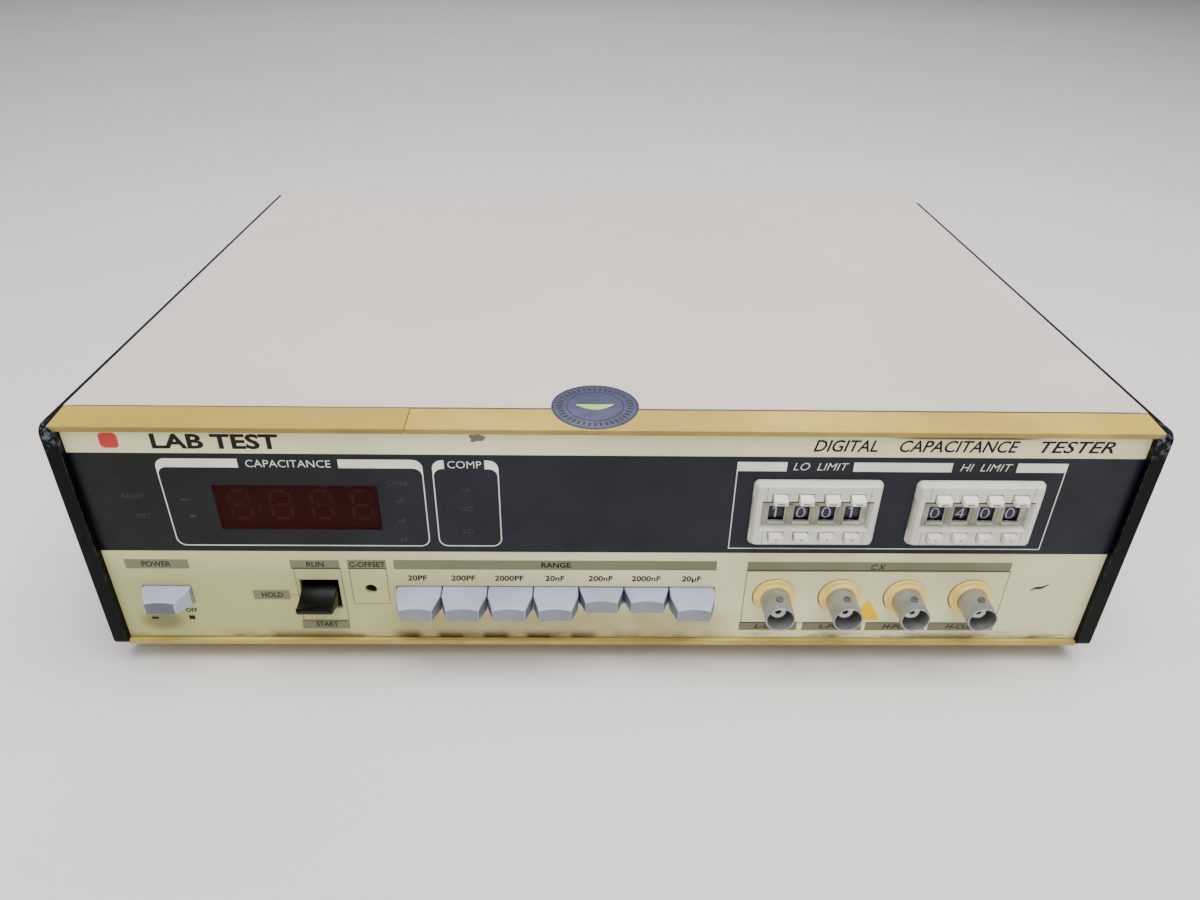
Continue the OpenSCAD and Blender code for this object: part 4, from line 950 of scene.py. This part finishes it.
def mullionShell(x, z, floorY):
    # a raised upright between two windows, with drafted sides
    foot = roundedOutline(-1.05, 1.05, -3.9, 3.2, 0.15, 3) + (x, z)
    crown = roundedOutline(-0.8, 0.8, -3.75, 3.05, 0.15, 3) + (x, z)
    rings = ((foot, 0.05), (foot, -0.05), (crown, -0.35))
    return tube([standing(outline, floorY + out) for outline, out in rings])


def creviceBars(x, z, face, values):
    # the gap over the recess as a strip of painted shadow, and four short parting lines beside it
    half, (low, high) = values["recessWide"] / 2, values["recessGap"]
    bars = [bar(x - half, x + half, z + low, z + high, face - 0.02, face + 0.3)]
    for side in (-1, 1):
        left, right = [x + side * values["seamX"] + turn * values["seam"] / 2 for turn in (-1, 1)]
        bars += [bar(left, right, z + low, z + high, face - 0.015, face + 0.3)
                 for low, high in values["seamEnds"]]
    return bars


sillShells, mullionShells, creviceShells = [], [], []
for bank in ("low", "high"):
    bezelX, _, bezelZ = middle(f"{bank}_limit_housing")
    drumX = [middle(f"{bank}_wheel_{number}")[0] for number in (1, 2, 3, 4)]
    sillShells += [sillShell(x, bezelZ - bezelDetail["sillDrop"], bezelDetail) for x in drumX]
    mullionShells += [mullionShell((left + right) / 2, bezelZ, bezelDetail["floorY"])
                      for left, right in zip(drumX, drumX[1:])]
    creviceShells += creviceBars(bezelX, bezelZ, span(f"{bank}_limit_housing")[0][1], bezelDetail)
addPiece("window_sills", sillShells, bezelMoulding)
addPiece("window_mullions", mullionShells, wallGrey)
addPiece("bezel_crevice_shadows", creviceShells, shadowAndMarkBrown)
for bank in ("low", "high"):
    for number in (1, 2, 3, 4):
        for kind, width, height, rise in (("up", 2.2, 0.34, 0.4), ("down", 0.6, 0.42, 1.0)):
            node = f"{bank}_{kind}_button_{number}"
            buttonLow = span(node)[0]
            buttonX = middle(f"{bank}_wheel_{number}")[0]
            outline = roundedOutline(buttonX - width / 2, buttonX + width / 2, buttonLow[2] + rise,
                                     buttonLow[2] + rise + height, 0.1, 3)
            addPiece(node + "_mark", [plate(outline, buttonLow[1] - 0.005, buttonLow[1] + 0.2)], shadowAndMarkBrown,
                     node)
print("bezels detailed")


# how far each kind of printing stands out, and the width of a ruled line
printDepth = {"pale": 0.03, "olive": 0.02, "ink": 0.045, "faint": 0.02}
lineWide = 0.3


def arc(x, z, radius, start, steps=6, sweep=90):
    # point(angle) = centre + radius * (cos angle, sin angle), over a sweep of degrees
    angle = np.radians(np.linspace(start, start + sweep, steps))
    return np.stack([x + radius * np.cos(angle), z + radius * np.sin(angle)], -1)


def titledFrame(x0, x1, z0, z1, gap0, gap1, radius, line=0.34, head=3.1):
    # A ruled frame from the right of its title round to the left: thick along the top, thin elsewhere.

    def openLoop(left, right, bottom, top, bend):
        corners = ((right - bend, top - bend, 0), (right - bend, bottom + bend, -90),
                   (left + bend, bottom + bend, 180), (left + bend, top - bend, 90))
        bends = [arc(x, z, bend, start)[::-1] for x, z, start in corners]
        return np.concatenate([[(gap1, top)], *bends, [(gap0, top)]])

    inner = openLoop(x0 + line, x1 - line, z0 + line, z1 - head, max(radius - line, 0.01))
    return ribbon(openLoop(x0, x1, z0, z1, radius), inner, -printDepth["pale"])


def ruledBox(x0, x1, z0, z1, line):
    # a thin band between a rectangle and the same one drawn in by the line's width
    return hoop(roundedOutline(x0, x1, z0, z1, 0.01, 2),
                roundedOutline(x0 + line, x1 - line, z0 + line, z1 - line, 0.01, 2), -printDepth["olive"])


windowX = middle("display_filter")[0]
lowX, highX = middle("low_limit_housing")[0], middle("high_limit_housing")[0]
leverX = middle("run_lever")[0]
offsetX = middle("offset_screw")[0]
keysX = (span("range_key_1")[0][0] + span("range_key_7")[1][0]) / 2
powerX = middle("power_key")[0]
socketsX = socketX.mean()

paleShells = [
    titledFrame(windowX - 40.3, windowX + 39.7, 39.4, 72.1, windowX - 15.6, windowX + 14.4, 3.0),
    titledFrame(-54.6, -34.5, 39.5, 72.0, -50.9, -38.7, 3.0),
    titledFrame(lowX - 25.8, highX + 25.1, 39.0, 72.1, lowX - 10.6, highX + 9.6, 0.02, 0.3, 3.3),
    bar(lowX + 9.8, highX - 10.4, 68.8, 72.1, -printDepth["pale"]),
    lettering("CAPACITANCE", windowX - 0.6, 69.2, 2.7, width=25.4, bold=-0.03),
    lettering("COMP", -44.8, 69.2, 2.7, width=10.2, bold=-0.03),
    lettering("LO  LIMIT", lowX - 0.6, 69.2, 2.85, slant=0.25, width=16.8, bold=-0.055),
    lettering("HI  LIMIT", highX - 0.3, 69.2, 2.85, slant=0.25, width=15.8, bold=-0.055)]
addPiece("pale_legends", paleShells, legendPale)

labelBars = [  # left, right, lower and upper edges
    (powerX - 11.2, powerX + 9.2, 29.9, 33.7), (leverX - 8.2, leverX + 7.6, 29.8, 33.6),
    (leverX - 22.3, leverX - 10.3, 17.0, 21.0), (leverX - 8.2, leverX + 7.7, 4.0, 8.0),
    (offsetX - 6.5, offsetX + 6, 29.9, 33.8), (keysX - 52.6, keysX + 52.6, 29.9, 33.8),
    (socketsX - 43.2, socketsX + 43.9, 29.5, 33.6), (socketsX - 43.5, socketsX - 23.6, 3.8, 7.5),
    (socketsX - 21.8, socketsX - 1.3, 3.8, 7.5), (socketsX - 0.1, socketsX + 20.7, 3.8, 7.5),
    (socketsX + 21.7, socketsX + 44.4, 3.8, 7.5), (leverX - 10.2, leverX - 7.5, 18.9, 19.2)]
labelFrames = [(leverX - 7.5, leverX + 7.9, 7.7, 30.4), (offsetX - 6.4, offsetX + 5.9, 15.0, 30.4),
               (socketsX - 43.2, socketsX + 44.4, 7.1, 30.2)]
oliveShells = [bar(*edges, -printDepth["olive"]) for edges in labelBars]
oliveShells += [ruledBox(*edges, lineWide) for edges in labelFrames]
addPiece("olive_label_bars", oliveShells, labelOlive)

softWords = [  # words, middle, foot, height and width
    ("POWER", powerX - 1.3, 30.8, 2.2, 9.3), ("RUN", leverX - 0.2, 30.9, 2.1, 5.6),
    ("HOLD", leverX - 16.1, 18.0, 2.1, 7.0), ("START", leverX + 0.1, 5.2, 2.1, 7.4),
    ("C-OFFSET", offsetX - 0.2, 30.9, 2.1, 11.6)]
softShells = [lettering(*place, width=width, bold=0.07) for *place, width in softWords]
softShells.append(lettering("C X", socketsX - 0.4, 30.5, 2.2, width=4.9, slant=0.25, bold=0.07))
inkShells = [
    lettering("RANGE", keysX, 30.9, 2.1, width=9.6, bold=0.07),
    lettering("OFF", powerX + 5.8, 11.3, 1.8, width=3.8, bold=0.04),
    bar(powerX - 8.2, powerX - 5.9, 8.2, 9.2, -printDepth["ink"]),
    bar(powerX + 4.3, powerX + 6.3, 8.1, 9.8, -printDepth["ink"])]
for number, words in enumerate(("20PF", "200PF", "2000PF", "20nF", "200nF", "2000nF", "20µF"), 1):
    keyX = middle(f"range_key_{number}")[0]
    inkShells.append(lettering(words, keyX - 0.4, 25.3, 2.2, slant=0.04, width=1.6 * len(words), bold=0.07))
for number, words in enumerate(("L-CUR", "L-POT", "H-POT", "H-CUR")):
    softShells.append(lettering(words, socketX[number] - 0.4, 4.7, 1.9, slant=0.25, width=9.8, bold=0.06))
for words, x, width in (("DIGITAL", 69.9, 19.4), ("CAPACITANCE", 103.8, 36.2), ("TESTER", 139.8, 22.8)):
    inkShells.append(lettering(words, x, 76.0, 4.2, slant=0.25, width=width, bold=0.07))
inkShells.append(lettering("LAB TEST", -118.2, 75.8, 5.0, width=37.5, bold=0.22))
addPiece("label_words", softShells, legendSoft)
addPiece("dark_legends", inkShells, legendDark)

faintWords = [  # words, middle, foot and height
    ("OVER", windowX + 31.6, 62.7, 1.9), ("µF", windowX + 31.6, 56.2, 1.9),
    ("nF", windowX + 31.6, 48.7, 1.9), ("pF", windowX + 31.6, 41.4, 1.9),
    ("HI", -45, 60.3, 1.9), ("GO", -45, 53.2, 1.9), ("LO", -45, 44.6, 1.9),
    ("READY", windowX - 49.5, 57.6, 1.7), ("TEST", windowX - 48.6, 50.1, 1.7)]
faintWidths = {"OVER": 6.4}
faintShells = [lettering(*place, printDepth["faint"], width=faintWidths.get(place[0]))
               for place in faintWords]
faintShells += [bar(windowX - 35.6, windowX - 33.0, 56.9, 57.4, -printDepth["faint"]),
                bar(windowX - 34.0, windowX - 32.4, 50.4, 51.4, -printDepth["faint"])]
addPiece("faint_legends", faintShells, legendFaint)

badge = roundedOutline(-151.7, -146.2, 75.7, 80.9, 1.4)
addPiece("red_badge", [plate(badge, -0.05)], badgeRed)
corners = {150: (-3.9, -3.5), -90: (3.9, -3.5), 30: (0.0, 3.5)}
triangle = np.concatenate([arc(x, z, 0.8, start, 5, 120) for start, (x, z) in corners.items()])
addPiece("yellow_sticker", [plate(triangle + (socketsX - 0.8, 12.9), -0.08)], stickerYellow)

# a stroke of a pen: a rising wave whose half width grows and shrinks as a sine along it
along = np.linspace(0, 1, 14)
penX, penZ = 141.0 + 5.9 * along, 21.8 + 2.5 * along + 0.35 * np.sin(along * 7)
penHalf = 0.22 + 0.36 * np.sin(math.pi * along)
penEdges = [np.stack([penX, penZ + side * penHalf], -1) for side in (1, -1)]
addPiece("pen_stroke", [ribbon(*penEdges, -0.02)], inkBlack)
print("printing laid on the facia")


# the round seal over the seam of trim and cover
seal = {"x": -5.3, "y": 12.4, "radius": 13.5, "thick": 0.12, "rings": ((8.6, 8.9), (12.9, 13.2)),
        "ticks": 10.9}
trimLow, trimHigh = span("top_trim_right")


def topHeight(y):
    # the trim falls by half a millimetre towards its lip; behind it the cover is level
    flatFrom, fall = trimHigh[1] - 4.5, 0.5
    return trimHigh[2] - fall * np.clip((flatFrom - y) / (flatFrom - trimLow[1]), 0, 1)


def onTop(outline, lift):
    # A flat (x, y) outline laid on the top, and again as high as its thickness.
    x, y = np.asarray(outline, float).T
    return [np.stack([x, y, topHeight(y) + rise], -1) for rise in (0.005, lift)]


def circle(steps):
    # (cos angle, sin angle) at even steps round a turn
    angle = np.linspace(0, 2 * math.pi, steps, endpoint=False)
    return np.stack([np.cos(angle), np.sin(angle)], -1)


def discShell(x, y, radius, lift, steps=64, rows=9):
    # Rings of growing radius underneath and shrinking on top, each lifted to the height of the top.
    radii = radius * np.linspace(0.05, 1, rows)
    under = [onTop(circle(steps) * size + (x, y), lift)[0] for size in radii]
    over = [onTop(circle(steps) * size + (x, y), lift)[1] for size in radii[::-1]]
    return tube(under + over)


def bandShell(x, y, inner, outer, lift, steps=72):
    # a flat ring on the top, its four circles joined into a closed loop of rings
    insideLow, insideHigh = onTop(circle(steps) * inner + (x, y), lift)
    outsideLow, outsideHigh = onTop(circle(steps) * outer + (x, y), lift)
    return tube([insideLow, outsideLow, outsideHigh, insideHigh], closedRows=True)


def swooshShell(x, y, lift):
    # A leaf along a shallow curve: half width grows and shrinks as a sine along it.
    t = np.linspace(0.02, 0.98, 20)
    lineX, lineY = x - 6 + 12 * t, y + 0.5 - 3.4 * np.sin(t * 2.2) + 3.2 * t
    half = 1.5 * np.sin(math.pi * t) + 0.15
    upperLow, upperHigh = onTop(np.stack([lineX, lineY + half], -1), lift)
    lowerLow, lowerHigh = onTop(np.stack([lineX, lineY - half], -1), lift)
    return tube(np.stack([upperLow, upperHigh, lowerHigh, lowerLow], 1))


def stroke(points, half, lift):
    # A line on the top: each (x, y) point is widened along y by half.
    points = np.asarray(points, float)
    farLow, farHigh = onTop(points + (0, half), lift)
    nearLow, nearHigh = onTop(points - (0, half), lift)
    return tube(np.stack([farLow, farHigh, nearHigh, nearLow], 1))


def tickMarks(x, y, radius, lift, count=40):
    # short bars that point out from the middle
    shells = []
    for spoke in circle(count):
        side = np.array([-spoke[1], spoke[0]])
        outline = [spoke * (radius + out) + side * half
                   for out, half in ((-0.9, 0.35), (0.9, 0.35), (0.9, -0.35), (-0.9, -0.35))]
        shells.append(tube(onTop(np.array(outline) + (x, y), lift)))
    return shells


sealPlace = (seal["x"], seal["y"])
sealDisc = discShell(*sealPlace, seal["radius"], seal["thick"])
sealRings = [bandShell(*sealPlace, inner, outer, 0.15) for inner, outer in seal["rings"]]
sealRings += tickMarks(*sealPlace, seal["ticks"], 0.15)
addPiece("round_seal", [sealDisc], sealBlue)
addPiece("round_seal_rings", sealRings, inkBlack)
addPiece("round_seal_leaf", [swooshShell(*sealPlace, 0.16)], sealLime)
wander = np.linspace(0, 1, 12)
scribbles = [np.stack([-152 + 3.2 * wander, 2.6 + 0.9 * np.sin(5 * wander)], -1),
             np.stack([-146.5 + 1.2 * wander, 2.9 + 2.4 * wander], -1),
             np.stack([-145 + 3.4 * wander, 3.6 + 0.7 * np.sin(7 * wander + 1)], -1),
             np.stack([-140 + 2.2 * wander, 3.3 + 1.1 * wander ** 2], -1)]
addPiece("pencil_marks", [stroke(points, 0.11, 0.02) for points in scribbles], pencilGrey)
# a painted shadow line: a thin brown strip laid on the top along the cover's front edge
coverFront = span("top_cover")[0][1]
seamX = np.linspace(-163, 163, 60)
seamLine = np.stack([seamX, np.full(60, coverFront + 0.02) + 0.03 * np.sin(seamX * 0.9)], -1)
addPiece("seam_shadow_line", [stroke(seamLine, 0.14, 0.02)], shadowAndMarkBrown)
print("seal laid on the top")


# cross-head screws
screwSize = {"head": 3.0, "dome": 1.3, "slotWide": 0.55, "slotReach": 1.8, "slotDeep": 0.9, "skirt": 0.25}


def screwShell(centre, axis, scale, values):
    # height(r, angle) = dome - cross, where the cross is cut within half a slot's width of either arm.
    head, slotWide, slotReach = [values[name] * scale for name in ("head", "slotWide", "slotReach")]
    dome, slotDeep, skirt = [values[name] * scale for name in ("dome", "slotDeep", "skirt")]
    radii = np.array([0.12, 0.4, 0.7, 1.0, 1.3, 1.6, 1.8, 2.0, 2.4, 2.7, 2.9, 3.0]) * scale
    angle = np.linspace(0, 2 * math.pi, 64, endpoint=False)
    r, a = np.meshgrid(radii, angle, indexing="ij")
    arms = np.minimum(abs(r * np.cos(a)), abs(r * np.sin(a)))
    slots = (arms < slotWide / 2) & (r < slotReach) | (r < 0.45 * scale)
    height = dome * np.sqrt(np.clip(1.02 - (r / head) ** 2, 0.02, 1))
    height = height - slots * slotDeep * np.clip(1.2 - r / slotReach, 0, 1)
    centre, axis = np.array(centre), np.array(axis, float)
    side = np.cross(axis, (0, 0, 1) if abs(axis[2]) < 0.9 else (1, 0, 0))
    across = (r * np.cos(a))[..., None] * side + (r * np.sin(a))[..., None] * np.cross(axis, side)
    rings = centre + height[..., None] * axis + across
    base = rings[-1] - axis * skirt
    return tube(np.concatenate([rings, base[None], (centre + (base - centre) * 0.5)[None]]))


def screwSeats():
    # centre, axis and scale of each screw: rear folds, side frames, feet and inlet flange
    rearLow, rearHigh = span("rear_panel")
    coverFrontY, coverBack = span("top_cover")[0][1], span("top_cover")[1][1]
    levels = (rearHigh[2] - 4.5, rearLow[2] + 4.5)
    seats = [((share * (rearHigh[0] - rearLow[0] - 2.4), coverBack, z), (0, 1, 0), 1.0)
             for share in (-0.36, 0, 0.36) for z in levels]
    frameX = span("right_side_frame")[1][0] - 2.25
    seats += [((side * frameX, y, z), (side, 0, 0), 1.0)
              for side in (-1, 1) for y in (coverFrontY + 30, rearHigh[1] - 38) for z in levels]
    feetLow, feetHigh = span("rubber_feet")
    seats += [((x, y, feetLow[2] + 4), (0, 0, -1), 1.1)
              for x in (feetLow[0] + 10, feetHigh[0] - 10) for y in (feetLow[1] + 10, feetHigh[1] - 10)]
    inletX, _, inletZ = middle("mains_inlet")
    inletFace = span("mains_inlet")[1][1] - 0.4
    seats += [((inletX + side * 20, inletFace, inletZ), (0, 1, 0), 0.85) for side in (-1, 1)]
    return seats


screws = [screwShell(*seat, screwSize) for seat in screwSeats()]
addPiece("case_screws", screws, socketPlate)
print("screws fitted")


def makeFloor(reach, level):
    # a flat square round the origin, in metres
    material = finish("pale_floor", (226, 224, 220), (220, 218, 214), scale=3, amount=0.5, specks=0.0,
                      rough=(0.55, 0.7), grain=500, relief=0.00001)
    mesh = bpy.data.meshes.new("floor")
    corners = [(x * reach, y * reach, level) for x, y in ((-1, -1), (1, -1), (1, 1), (-1, 1))]
    mesh.from_pydata(corners, [], [(0, 1, 2, 3)])
    mesh.materials.append(material)
    floor = bpy.data.objects.new("floor", mesh)
    bpy.context.scene.collection.objects.link(floor)


makeFloor(4.0, -0.00005)
print("floor laid")
